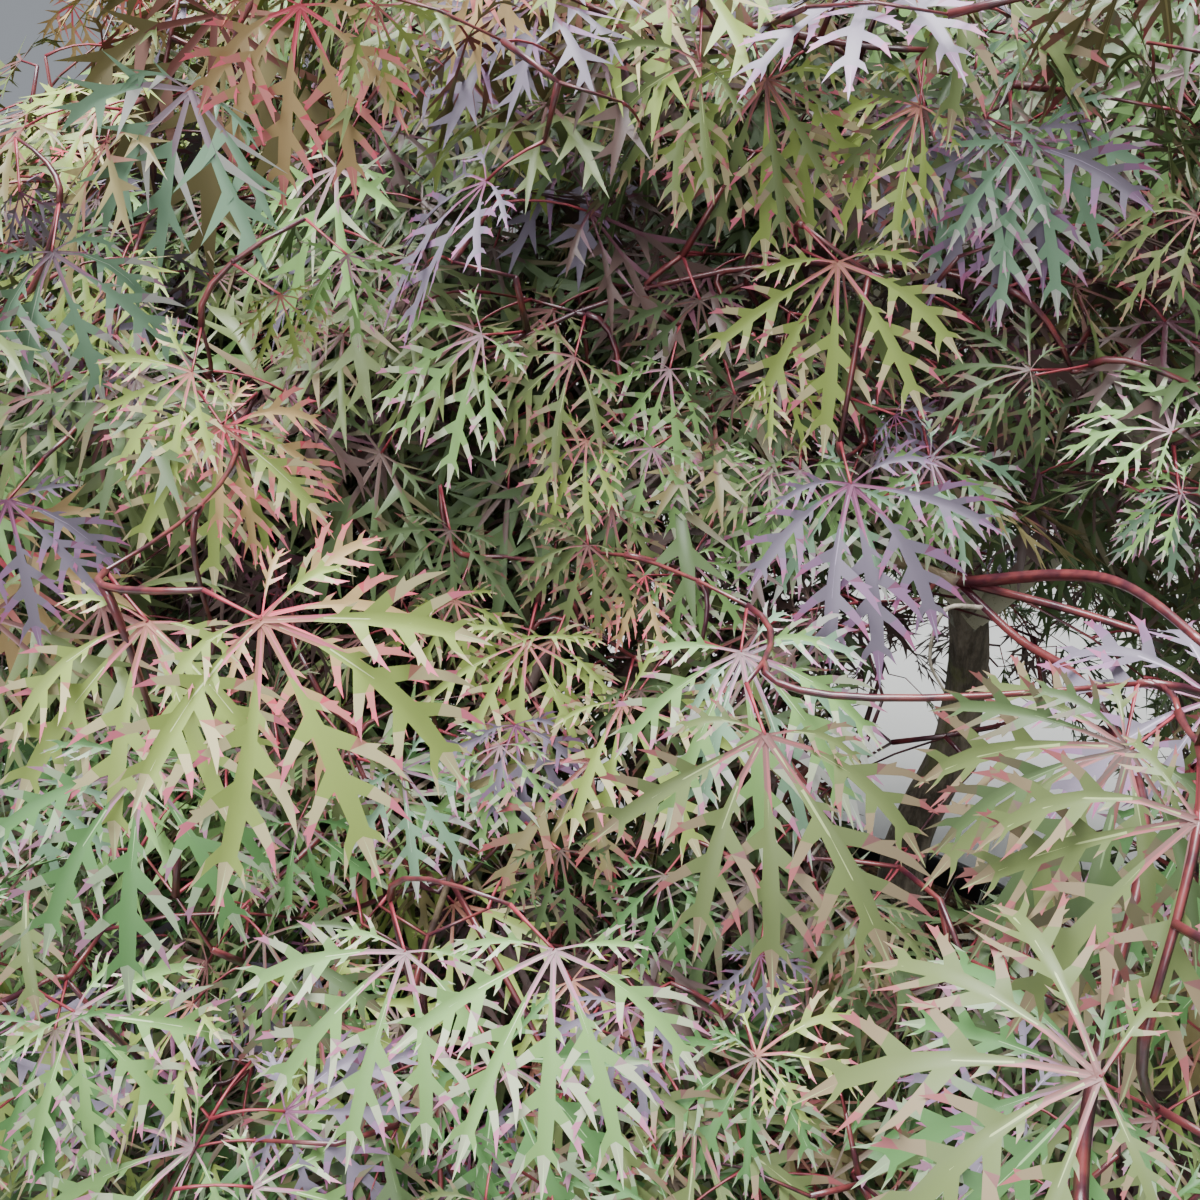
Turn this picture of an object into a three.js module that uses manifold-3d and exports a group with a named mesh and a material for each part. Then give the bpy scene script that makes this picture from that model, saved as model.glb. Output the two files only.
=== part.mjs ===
// A weeping laceleaf maple in its black nursery container.
// Millimetres, +Z up. The origin is the middle of the container's flat underside.
// The side that faces the viewer is -Y, and +X is the viewer's right.
import * as THREE from "three";
import { mergeVertices } from "three/addons/utils/BufferGeometryUtils.js";
import Module from "manifold-3d";

const wasm = await Module();
wasm.setup();

// Container and potting mix. Radii are named after their place.
const CLEARANCE = 0.3; // between pieces that touch
const POT = {
  foot: 200,
  mouth: 246,
  height: 425,
  wall: 3.5,
  floor: 5,
  chamfer: 4,
  heel: 60, // height of the straighter band above the foot
  heelFlare: 3,
  rim: 9, // how far the rolled rim stands out
  rimDepth: 26,
  rimRound: 5,
};
const SOIL = { level: 400, dip: 8, flat: 120 }; // level round the trunk, then it dips to the wall
const ROUND = 40; // sides of the container

// Trunk: where it stands, its radii, and its root flare
const TRUNK = {
  x: 40, // the foot stands off the container's middle
  girth: 23,
  tip: 8,
  taper: 1.25,
  flare: 16, // how far the root flare stands out at the soil
  flareHeight: 55,
  buttresses: 5,
  buttressDepth: 0.45,
  sides: 15,
  steps: 22,
};
// How far the trunk wanders from its foot as it climbs: height, across, back
const TRUNK_BENDS = [
  [0, 0, 0],
  [40, 0, 0],
  [190, -11, 6],
  [330, 24, 12],
  [480, 8, -6],
  [620, -40, 4],
  [830, -70, 10],
  [930, -66, 0],
];

// The crown is a dome that draws in a little at its hem and is open inside.
const CROWN = {
  x: -20,
  radius: 850,
  top: 1520,
  widest: 900, // height where the crown is widest
  hem: 505, // lowest height that the weeping foliage reaches
  tuck: 0.05, // share of the radius that it draws in by at its hem
  hollow: 0.58, // share of the crown that is open inside
};

// Boughs are six-sided limbs. Each ring's boughs leave the trunk, or for the skirt the
// nearest shoulder bough, between two places: heights, or shares of that bough's length.
// tip and middle are the radius and height of a bough's end and of its foliage's middle.
const BOUGH = { sides: 6, steps: 8, bearingPlay: 14, reachPlay: 0.08, heightPlay: 50, ease: 0.35 };
const RINGS = [
  {
    name: "upper",
    count: 5,
    bearing: -62,
    from: [1130, 1235],
    tip: [170, 1350],
    rise: 40,
    thick: [8, 4.5],
    middle: [330, 1385],
    stem: { nodes: 6, length: 215, sag: 0.07, lift: 15 },
    twig: { nodes: 3, least: 80, more: 70 },
  },
  {
    name: "shoulder",
    count: 8,
    bearing: -12,
    from: [845, 1090],
    tip: [400, 1225],
    rise: 110,
    thick: [12.5, 5],
    middle: [575, 1260],
    stem: { nodes: 7, length: 265, sag: 0.1, lift: 25 },
    twig: { nodes: 3, least: 95, more: 85 },
  },
  {
    name: "skirt",
    count: 10,
    bearing: -90,
    from: [0.42, 0.6],
    tip: [600, 1025],
    rise: 60,
    thick: [7, 4],
    middle: [740, 870],
    stem: { nodes: 7, length: 450, sag: 0.3, lift: 0 },
    twig: { nodes: 2, least: 60, more: 70 },
  },
];
const LEADER = {
  middle: [10, 1465],
  stem: { nodes: 4, length: 110, sag: 0 },
  twig: { nodes: 2, least: 50, more: 60 },
};

// Twigs are three-sided: a stem bears pairs of side twigs, and these bear pairs of leaves.
const NODE = 9; // length of the joint that a pair grows from
const STEM = { start: 0.95, thick: 0.8, thin: 2.6, turn: 58, turnPlay: 16 };
const TWIG = { thick: 2.8, thin: 2.1, sag: 0.22 };
// A leaf is a thin star of three drooping lobes, larger than life as each stands for a few.
const LEAF = {
  length: 125,
  lengthPlay: 0.15,
  thick: 3.6,
  lobeTurn: 44, // degrees between the middle lobe and a side lobe
  sideLobe: 0.82,
  notch: 0.24,
  stalk: 20,
  droop: 0.36,
  turn: 66, // degrees between a leaf of a pair and its twig
  sags: [0.15, 0.45, 0.9, 1.8], // how far it is bent down, tried in turn
  facing: 0.25, // least share of its way that it has straight out of its twig
};
const SPACE_MARGIN = 2; // a mass stays this far inside its own space
const LIMB_MARGIN = 3; // and this far from a limb
const SAME = 0.5; // mm3 in common that is no crossing, only a shared face

// Colours and finishes
const finish = (color, roughness) =>
  new THREE.MeshStandardMaterial({ color, roughness, metalness: 0 });
const FINISHES = {
  container: finish(0x17191b, 0.5),
  potting_mix: finish(0x6d5236, 0.95),
  trunk: finish(0x4d463b, 0.9),
  bough: finish(0x5a5444, 0.85),
  leader: finish(0x93a066, 0.6),
  upper: finish(0x8c9a62, 0.6),
  shoulder: finish(0x7d9a78, 0.6),
  skirt: finish(0x8b8a6e, 0.6),
};

const rad = THREE.MathUtils.degToRad;
const lerp = THREE.MathUtils.lerp;
const vec = (x, y, z) => new THREE.Vector3(x, y, z);
const UP = vec(0, 0, 1);

// The same run of numbers from 0 to 1 for the same seed
function dice(seed) {
  let state = seed >>> 0;
  return () => {
    state = (state + 0x6d2b79f5) >>> 0;
    let t = Math.imul(state ^ (state >>> 15), state | 1);
    t = (t + Math.imul(t ^ (t >>> 7), t | 61)) ^ t;
    return ((t ^ (t >>> 14)) >>> 0) / 2 ** 32;
  };
}

// A solid that can be joined and cut, from a closed geometry, and back
function solidOf(geometry) {
  geometry.deleteAttribute("normal");
  geometry.deleteAttribute("uv");
  const merged = mergeVertices(geometry, 1e-3);
  const vertProperties = merged.attributes.position.array;
  const triVerts = new Uint32Array(merged.index.array);
  return new wasm.Manifold(new wasm.Mesh({ numProp: 3, vertProperties, triVerts }));
}

function geometryOf(solid) {
  const mesh = solid.getMesh();
  const geometry = new THREE.BufferGeometry();
  geometry.setAttribute("position", new THREE.BufferAttribute(mesh.vertProperties, 3));
  geometry.setIndex(new THREE.BufferAttribute(mesh.triVerts, 1));
  geometry.computeVertexNormals();
  return geometry;
}

const solidOfFaces = (faces) =>
  solidOf(new THREE.BufferGeometry().setFromPoints(faces.flat()));

// The largest of a solid's bodies, with loose scraps dropped
const wholeOf = (solid) =>
  solid.decompose().reduce((most, body) => (body.volume() > most.volume() ? body : most));

// A round piece about Z from the radii and heights of its outline
const turned = (outline) =>
  new THREE.LatheGeometry(
    outline.map(([radius, height]) => new THREE.Vector2(radius, height)),
    ROUND,
  ).rotateX(Math.PI / 2);

// Container: a chamfered foot, a heel, a tapering wall and a rolled rim
function containerGeometry() {
  const underRim = POT.height - POT.rimDepth;
  const rim = POT.mouth + POT.rim;
  const heel = POT.foot + POT.heelFlare;
  return turned([
    [0, 0],
    [POT.foot - POT.chamfer, 0],
    [POT.foot, POT.chamfer],
    [heel, POT.heel],
    [POT.mouth - POT.wall, underRim],
    [rim, underRim],
    [rim, POT.height - POT.rimRound],
    [rim - POT.rimRound, POT.height],
    [POT.mouth, POT.height],
    [POT.mouth - POT.wall, POT.height - POT.rimRound],
    [heel - POT.wall, POT.heel],
    [POT.foot - POT.wall, POT.floor],
    [0, POT.floor],
  ]);
}

// Potting mix: it fills the container to a hand's breadth round the trunk, then dips
function pottingMixGeometry() {
  const edge = SOIL.level - SOIL.dip;
  const heel = POT.foot + POT.heelFlare - POT.wall;
  const climb = (edge - POT.heel) / (POT.height - POT.rimRound - POT.heel);
  const gap = 2 * CLEARANCE;
  return turned([
    [0, POT.floor + CLEARANCE],
    [POT.foot - POT.wall - gap, POT.floor + CLEARANCE],
    [heel - gap, POT.heel],
    [lerp(heel, POT.mouth - POT.wall, climb) - gap, edge],
    [SOIL.flat, SOIL.level],
    [0, SOIL.level],
  ]);
}

// A limb along a curve. radiusAt takes the share of its length and the angle round it.
function limbSolid(curve, radiusAt, sides, steps) {
  const geometry = new THREE.CylinderGeometry(1, 1, 1, sides, steps);
  const frames = curve.computeFrenetFrames(steps);
  const at = geometry.attributes.position;
  for (let i = 0; i < at.count; i++) {
    const step = Math.round((at.getY(i) + 0.5) * steps);
    const radius = radiusAt(step / steps, Math.atan2(at.getZ(i), at.getX(i)));
    const point = curve
      .getPointAt(step / steps)
      .addScaledVector(frames.binormals[step], at.getX(i) * radius)
      .addScaledVector(frames.normals[step], at.getZ(i) * radius);
    at.setXYZ(i, point.x, point.y, point.z);
  }
  return solidOf(geometry);
}

// Limbs that twigs and leaves keep clear of, as points along them and a radius at each
const limbs = [];
function noteLimb(curve, radiusAt, steps) {
  const points = curve.getSpacedPoints(steps);
  limbs.push({ points, radii: points.map((_, i) => radiusAt(i / steps, 0)) });
}

// Trunk
const trunkCurve = new THREE.CatmullRomCurve3(
  TRUNK_BENDS.map(([up, across, back]) =>
    vec(TRUNK.x + across, back, SOIL.level + CLEARANCE + up),
  ),
);
const trunkLength = trunkCurve.getLength();

function trunkRadius(share, angle) {
  const taper = lerp(TRUNK.girth, TRUNK.tip, share ** TRUNK.taper);
  const flare = TRUNK.flare * Math.exp((-share * trunkLength) / TRUNK.flareHeight);
  return taper + flare * (1 + TRUNK.buttressDepth * Math.cos(TRUNK.buttresses * angle));
}

const trunk = {
  curve: trunkCurve,
  solid: (grown) =>
    limbSolid(trunkCurve, (s, angle) => trunkRadius(s, angle) + grown, TRUNK.sides, TRUNK.steps),
};
noteLimb(trunkCurve, trunkRadius, TRUNK.steps);

// The share of the trunk's length that lies below a height
function trunkShareAt(height) {
  let [low, high] = [0, 1];
  while (high - low > 1e-6) {
    const middle = (low + high) / 2;
    if (trunkCurve.getPointAt(middle).z < height) low = middle;
    else high = middle;
  }
  return low;
}

// A place in the crown, by its bearing round the crown's middle, its radius and its height
const place = (bearing, radius, height) =>
  vec(CROWN.x + radius * Math.cos(bearing), radius * Math.sin(bearing), height);

// Boughs: one tapering limb each. It climbs from its parent, arches, and enters its foliage.
const boughs = [];
const masses = [];
const apart = (a, b) => Math.abs(Math.atan2(Math.sin(a - b), Math.cos(a - b)));

function boughCurve(start, end, rise, heading) {
  const out = end.clone().sub(start);
  const near = start.clone().addScaledVector(out, BOUGH.ease);
  near.z = start.z + rise;
  const far = end.clone().addScaledVector(heading, -BOUGH.ease * out.length());
  return new THREE.CubicBezierCurve3(start, near, far, end);
}

function nearestShoulder(bearing) {
  const shoulders = boughs.filter((bough) => bough.ring === "shoulder");
  return shoulders.reduce((best, bough) =>
    apart(bough.bearing, bearing) < apart(best.bearing, bearing) ? bough : best,
  );
}

function addBough(ring, ringIndex, i, roll) {
  const play = (range) => (roll() - 0.5) * range;
  const bearing = rad(ring.bearing + (360 / ring.count) * i + play(BOUGH.bearingPlay));
  const spread = (i * 0.618 + 0.1) % 1; // starts spread evenly and out of order
  const from = lerp(ring.from[0], ring.from[1], spread);
  const parent = ring.name === "skirt" ? nearestShoulder(bearing) : trunk;
  const share = ring.name === "skirt" ? from : trunkShareAt(from);
  const start = parent.curve.getPointAt(share);
  const reach = ring.tip[0] * (1 + play(BOUGH.reachPlay));
  const end = place(bearing, reach, ring.tip[1] + play(BOUGH.heightPlay));
  const middle = place(bearing, ...ring.middle);
  const heading = middle.clone().sub(end).add(vec(0, 0, ring.stem.lift)).normalize();
  const curve = boughCurve(start, end, ring.rise, heading);
  const radiusAt = (s) => lerp(ring.thick[0], ring.thick[1], s);
  const solid = (grown) =>
    limbSolid(curve, (s) => radiusAt(s) + grown, BOUGH.sides, BOUGH.steps);
  const seated = wholeOf(solid(0).subtract(parent.solid(CLEARANCE)));
  boughs.push({ name: `${ring.name}_bough_${i + 1}`, ring: ring.name, bearing, curve, solid, seated });
  noteLimb(curve, radiusAt, BOUGH.steps);
  masses.push({
    name: `${ring.name}_foliage_${i + 1}`,
    finish: ring.name,
    seed: 1000 * (ringIndex + 1) + i,
    from: end,
    heading: curve.getTangentAt(1),
    radius: ring.thick[1],
    stem: ring.stem,
    twig: ring.twig,
    middle,
  });
}

RINGS.forEach((ring, ringIndex) => {
  const roll = dice(100 + ringIndex);
  for (let i = 0; i < ring.count; i++) addBough(ring, ringIndex, i, roll);
});

// The leader's foliage goes on from the trunk's own tip.
masses.push({
  name: "leader_foliage",
  finish: "leader",
  seed: 7,
  from: trunkCurve.getPointAt(1),
  heading: trunkCurve.getTangentAt(1),
  radius: TRUNK.tip,
  stem: LEADER.stem,
  twig: LEADER.twig,
  middle: place(Math.PI, ...LEADER.middle),
});

// Spaces: a point belongs to the mass whose middle is nearest, within the crown's shell.
function domeAt(point, scale) {
  const across = Math.hypot(point.x - CROWN.x, point.y) / (CROWN.radius * scale);
  const above = (point.z - CROWN.widest) / ((CROWN.top - CROWN.widest) * scale);
  if (above > 0) return Math.hypot(across, above);
  const below = (CROWN.widest - point.z) / (CROWN.widest - CROWN.hem);
  return across / (1 - CROWN.tuck * below ** 2);
}

function inSpace(point, mass) {
  const inShell = domeAt(point, 1) < 1 && domeAt(point, CROWN.hollow) > 1;
  if (point.z < CROWN.hem || !inShell) return false;
  return masses.every((other) => {
    if (other === mass) return true;
    const across = other.middle.clone().sub(mass.middle);
    const border = across.length() / 2 - SPACE_MARGIN;
    return point.clone().sub(mass.middle).dot(across.normalize()) < border;
  });
}

function clearOfLimbs(point) {
  const line = new THREE.Line3();
  const nearest = vec(0, 0, 0);
  return limbs.every(({ points, radii }) =>
    points.slice(1).every((end, i) => {
      line.set(points[i], end).closestPointToPoint(point, true, nearest);
      return nearest.distanceTo(point) > radii[i] + LIMB_MARGIN;
    }),
  );
}

// Twigs and leaves grow by one rule. Each starts three-sided, out of one triangle of its
// parent's side, so that a whole mass is one closed skin.
const LEFT = 0;
const UNDERSIDE = 1;
const RIGHT = 2;
const SIDES = [LEFT, UNDERSIDE, RIGHT];
const CORNERS = [90, 210, 330]; // degrees, seen from behind: top, lower left, lower right

const bend = (heading, sag) => heading.clone().addScaledVector(UP, -sag).normalize();
const between = (a, b, share) => a.clone().lerp(b, share);
const middleOf = (ring) => ring[0].clone().add(ring[1]).add(ring[2]).divideScalar(3);
const endCap = (ring) => [ring[2], ring[1], ring[0]];

// The way between straight on and straight out
const lean = (way, out, turn) =>
  way.clone().multiplyScalar(Math.cos(turn)).addScaledVector(out, Math.sin(turn)).normalize();

// The level way to the right of a heading
function sideOf(heading, otherwise) {
  const side = heading.clone().cross(UP);
  return side.length() < 0.15 ? otherwise.clone() : side.normalize();
}

// Three corners round a point, and the way that what starts from them looks
function ringAt(point, heading, side, radius) {
  const over = side.clone().cross(heading);
  return CORNERS.map((angle) =>
    point
      .clone()
      .addScaledVector(side, Math.cos(rad(angle)) * radius)
      .addScaledVector(over, Math.sin(rad(angle)) * radius),
  );
}

const wayOut = (ring) =>
  ring[2].clone().sub(ring[0]).cross(ring[1].clone().sub(ring[0])).normalize();

// The ring's corners, begun at the one that makes the straightest tube to the next ring
function alignedTo(ring, next) {
  const turns = [0, 1, 2].map((k) => ring.map((_, i) => ring[(i + k) % 3]));
  const twist = (turn) => turn.reduce((sum, p, i) => sum + p.distanceToSquared(next[i]), 0);
  return turns.reduce((best, turn) => (twist(turn) < twist(best) ? turn : best));
}

// The two triangles of one side of a tube
function sideFaces(a, b, i) {
  const j = (i + 1) % 3;
  return [
    [a[i], b[i], b[j]],
    [a[i], b[j], a[j]],
  ];
}

// A leaf that grows out of a ring: its faces, and the points that have to fit its space
function leafShape(ring, heading, side, size) {
  const over = side.clone().cross(heading);
  const root = middleOf(ring);
  const spot = (angle, radius, drop) =>
    root
      .clone()
      .addScaledVector(heading, LEAF.stalk + Math.cos(rad(angle)) * radius)
      .addScaledVector(side, Math.sin(rad(angle)) * radius)
      .addScaledVector(over, -drop);
  const [left, middle, right] = [...ring].sort((p, q) => p.dot(side) - q.dot(side));
  const middleIsOver = ring[(ring.indexOf(middle) + 1) % 3] === left;
  const fall = size * LEAF.droop;
  const rim = [
    right,
    spot(LEAF.lobeTurn, size * LEAF.sideLobe, fall),
    spot(LEAF.lobeTurn / 2, size * LEAF.notch, 0),
    spot(0, size, fall),
    spot(-LEAF.lobeTurn / 2, size * LEAF.notch, 0),
    spot(-LEAF.lobeTurn, size * LEAF.sideLobe, fall),
    left,
  ];
  const top = spot(0, 0, -LEAF.thick / 2);
  const under = spot(0, 0, LEAF.thick / 2);
  const closed = (byMiddle) => (byMiddle ? [...rim, middle, right] : [...rim, right]);
  const steps = (edge) => edge.slice(1).map((next, i) => [edge[i], next]);
  return {
    faces: [
      ...steps(closed(middleIsOver)).map(([p, next]) => [p, next, top]),
      ...steps(closed(!middleIsOver)).map(([p, next]) => [next, p, under]),
    ],
    tests: rim.slice(1, -1).flatMap((p) => [p, between(top, p, 0.35), between(top, p, 0.7)]),
  };
}

function growMass(mass) {
  const roll = dice(mass.seed);
  const skin = [];
  const grown = [];
  let leaves = 0;
  const fits = (point) => inSpace(point, mass) && clearOfLimbs(point);

  // Keeps a closed piece if it crosses nothing that has grown before it
  function keep(closed) {
    const solid = solidOfFaces(closed);
    if (grown.some((other) => solid.intersect(other).volume() > SAME)) return false;
    grown.push(solid);
    return true;
  }

  function stretch(a, b) {
    const sides = SIDES.flatMap((i) => sideFaces(a, b, i));
    return b.every(fits) && keep([a, ...sides, endCap(b)]);
  }

  // A leaf that doesn't fit as it grows hangs lower, and is left out if it still doesn't.
  function leaf(ring, heading, side) {
    const size = LEAF.length * (1 + LEAF.lengthPlay * (2 * roll() - 1));
    for (const sag of LEAF.sags) {
      const way = bend(heading, sag);
      if (way.dot(wayOut(ring)) < LEAF.facing) continue;
      const { faces, tests } = leafShape(ring, way, sideOf(way, side), size);
      if (tests.every(fits) && keep([ring, ...faces])) {
        skin.push(...faces);
        leaves += 1;
        return true;
      }
    }
    return false;
  }

  // A shoot goes on from a ring by a stretch and a joint at a time, and ends in a leaf.
  // bear grows what each joint carries on its left and right.
  function shoot(start, heading, kind, bear) {
    const side = sideOf(heading, vec(1, 0, 0));
    const joints = [];
    let ring = start;
    let way = heading;
    for (let n = 1; n <= kind.nodes; n++) {
      const radius = lerp(kind.thick, kind.thin, n / kind.nodes);
      const next = middleOf(ring).addScaledVector(way, kind.length / kind.nodes);
      const here = ringAt(next, way, side, radius);
      const beyond = ringAt(next.addScaledVector(way, NODE), way, side, radius);
      const aligned = alignedTo(ring, here);
      if (!stretch(aligned, here) || !stretch(here, beyond)) break;
      skin.push(...SIDES.flatMap((i) => sideFaces(aligned, here, i)));
      skin.push(...sideFaces(here, beyond, UNDERSIDE));
      joints.push({ here, beyond, way });
      ring = beyond;
      way = bend(way, kind.sag);
    }
    if (!joints.length) return false;
    if (!leaf(ring, way, side)) skin.push(endCap(ring));
    for (const { here, beyond, way } of joints) {
      for (const i of [LEFT, RIGHT]) {
        const [kept, host] = sideFaces(here, beyond, i);
        const out = ringAt(vec(0, 0, 0), way, side, 1)[(i + 2) % 3].negate();
        skin.push(kept);
        if (!bear([...host].reverse(), way, out)) skin.push(host);
      }
    }
    return true;
  }

  const sideLeaf = (ring, way, out) => leaf(ring, lean(way, out, rad(LEAF.turn)), way);

  // A side twig is kept only where it bears a leaf.
  function sideTwig(ring, way, out) {
    const before = { skin: skin.length, grown: grown.length, leaves };
    const turn = STEM.turn + STEM.turnPlay * (roll() - 0.5);
    const length = mass.twig.least + mass.twig.more * roll();
    shoot(ring, lean(way, out, rad(turn)), { ...TWIG, ...mass.twig, length }, sideLeaf);
    if (leaves > before.leaves) return true;
    skin.length = before.skin;
    grown.length = before.grown;
    return false;
  }

  const start = mass.from.clone().addScaledVector(mass.heading, CLEARANCE);
  const side = sideOf(mass.heading, vec(1, 0, 0));
  const cut = ringAt(start, mass.heading, side, mass.radius * STEM.start);
  skin.push(cut);
  shoot(cut, mass.heading, { ...STEM, ...mass.stem, thick: mass.radius * STEM.thick }, sideTwig);
  return solidOfFaces(skin);
}

// Assembly
const plant = new THREE.Group();
function addPiece(name, geometry, material) {
  const mesh = new THREE.Mesh(geometry, material);
  mesh.name = name;
  plant.add(mesh);
}

addPiece("container", containerGeometry(), FINISHES.container);
addPiece("potting_mix", pottingMixGeometry(), FINISHES.potting_mix);
addPiece("trunk", geometryOf(trunk.solid(0)), FINISHES.trunk);
for (const bough of boughs) addPiece(bough.name, geometryOf(bough.seated), FINISHES.bough);
for (const mass of masses) addPiece(mass.name, geometryOf(growMass(mass)), FINISHES[mass.finish]);

export default plant;
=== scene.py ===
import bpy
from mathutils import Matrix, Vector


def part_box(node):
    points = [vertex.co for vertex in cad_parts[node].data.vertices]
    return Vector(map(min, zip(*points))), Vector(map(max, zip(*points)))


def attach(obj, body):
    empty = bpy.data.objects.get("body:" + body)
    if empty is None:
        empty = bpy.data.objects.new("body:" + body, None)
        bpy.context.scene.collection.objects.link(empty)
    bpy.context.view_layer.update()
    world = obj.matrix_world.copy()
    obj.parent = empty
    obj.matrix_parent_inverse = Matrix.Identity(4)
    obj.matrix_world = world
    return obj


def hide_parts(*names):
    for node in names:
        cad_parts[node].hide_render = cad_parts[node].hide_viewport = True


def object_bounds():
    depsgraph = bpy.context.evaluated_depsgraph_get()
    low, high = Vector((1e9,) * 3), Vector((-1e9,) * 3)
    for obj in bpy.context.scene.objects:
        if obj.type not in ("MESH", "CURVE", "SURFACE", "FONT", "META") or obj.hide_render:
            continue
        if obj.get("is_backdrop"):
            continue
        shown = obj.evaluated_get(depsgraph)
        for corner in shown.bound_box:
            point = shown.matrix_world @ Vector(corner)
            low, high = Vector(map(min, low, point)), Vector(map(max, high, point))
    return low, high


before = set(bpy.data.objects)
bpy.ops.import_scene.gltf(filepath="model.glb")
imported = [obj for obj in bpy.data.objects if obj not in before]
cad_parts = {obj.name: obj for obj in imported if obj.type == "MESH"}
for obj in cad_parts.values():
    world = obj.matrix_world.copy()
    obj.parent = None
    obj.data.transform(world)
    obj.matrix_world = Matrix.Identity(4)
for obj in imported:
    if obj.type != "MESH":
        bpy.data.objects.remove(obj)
cad_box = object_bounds()
print("solids reach from", [round(v, 3) for v in cad_box[0]], "to", [round(v, 3) for v in cad_box[1]])

# %% [markdown]
# # A weeping laceleaf maple in its container
# The plant has a short crooked trunk, boughs that arch out of it, and finely cut leaves that hang
# in a dome round an open middle. Everything below is in metres, +Z is up, and the viewer looks in
# from -Y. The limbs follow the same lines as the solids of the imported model, and the foliage grows
# on from them by the same rule, with finer twigs and real leaves.

# %% Tools for numbers
import itertools
import math

import bmesh
import bpy
import numpy as np
from mathutils import Vector, noise

UP = np.array((0.0, 0.0, 1.0))
DOWN = -UP


def unit(v):
    """The same way, one metre long. Works on one vector or on rows of them."""
    v = np.asarray(v, float)
    return v / np.maximum(np.linalg.norm(v, axis=-1, keepdims=True), 1e-9)


def mix(a, b, share):
    """What lies between a and b, that share of the way."""
    return a + (b - a) * share


def dice(seed):
    """The same run of numbers from 0 to 1 for the same seed."""
    full = 0xFFFFFFFF
    state = seed & full

    def roll():
        nonlocal state
        state = (state + 0x6D2B79F5) & full
        t = ((state ^ (state >> 15)) * (state | 1)) & full
        t = ((t + (((t ^ (t >> 7)) * (t | 61)) & full)) & full) ^ t
        return ((t ^ (t >> 14)) & full) / 2**32

    return roll


def dealt(span, roll):
    """A number from a span: its least value, and some of what it may have more."""
    least, more = span
    return least + more * roll()


# %% [markdown]
# ## The viewpoint
# The photograph was taken from just outside the crown, at chest height, looking down into the
# leaves with a wide lens. The camera comes first, because some leaves and shoots are placed by the
# pixel where they show: a pixel and a distance give a point in the crown.

# %% The camera
PHOTO = 1200  # pixels on each side of the photograph
EYE = np.array((-0.274, -0.925, 1.35))
PITCH = 27  # degrees below the horizon
FIELD = 54  # degrees across the whole frame

camera_data = bpy.data.cameras.new("viewpoint")
camera_data.angle = math.radians(FIELD)
camera_data.clip_start = 0.02
camera = bpy.data.objects.new("viewpoint", camera_data)
camera.location = EYE
camera.rotation_euler = (math.radians(90 - PITCH), 0, 0)
bpy.context.scene.collection.objects.link(camera)
bpy.context.scene.camera = camera

LENS = PHOTO / 2 / math.tan(math.radians(FIELD / 2))  # the lens's length, in pixels
AHEAD = np.array((0, math.cos(math.radians(PITCH)), -math.sin(math.radians(PITCH))))
ACROSS = np.array((1.0, 0, 0))
OVER = np.cross(ACROSS, AHEAD)


def seen_at(across, down, distance):
    """The point that shows at a pixel of the photograph, that far from the eye."""
    ray = AHEAD + ACROSS * (across - PHOTO / 2) / LENS - OVER * (down - PHOTO / 2) / LENS
    return EYE + unit(ray) * distance


def pixels_of(points):
    """Where points show on the photograph, as rows of across, down and distance ahead."""
    out = np.atleast_2d(points) - EYE
    ahead = np.maximum(out @ AHEAD, 1e-3)
    across = PHOTO / 2 + LENS * (out @ ACROSS) / ahead
    down = PHOTO / 2 - LENS * (out @ OVER) / ahead
    return np.stack([across, down, out @ AHEAD], 1)


# %% [markdown]
# ## Finishes
# Every finish is a small tree of shader nodes. Shader maths reads like ordinary Python here: a
# Value wraps a socket, and using +, - or * on it adds a Math node. Patterns are placed by Object
# coordinates, so they stay with the piece from every side.


# %% One class for shader values
class Value:
    """A number that varies over a surface."""

    def __init__(self, finish, socket):
        self.finish = finish
        self.socket = socket

    def _math(self, operation, a, b):
        return self.finish.node("ShaderNodeMath", {"operation": operation}, {0: a, 1: b})

    def __add__(self, other):
        return self._math("ADD", self, other)

    def __radd__(self, other):
        return self._math("ADD", other, self)

    def __sub__(self, other):
        return self._math("SUBTRACT", self, other)

    def __rsub__(self, other):
        return self._math("SUBTRACT", other, self)

    def __mul__(self, other):
        return self._math("MULTIPLY", self, other)

    def __rmul__(self, other):
        return self._math("MULTIPLY", other, self)


# %% One class for a finish


def linear(color):
    """A colour as a shader wants it, from its six hex digits."""
    parts = [int(color[i : i + 2], 16) / 255 for i in (1, 3, 5)]
    return tuple(p / 12.92 if p < 0.04045 else ((p + 0.055) / 1.055) ** 2.4 for p in parts) + (1,)


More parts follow.
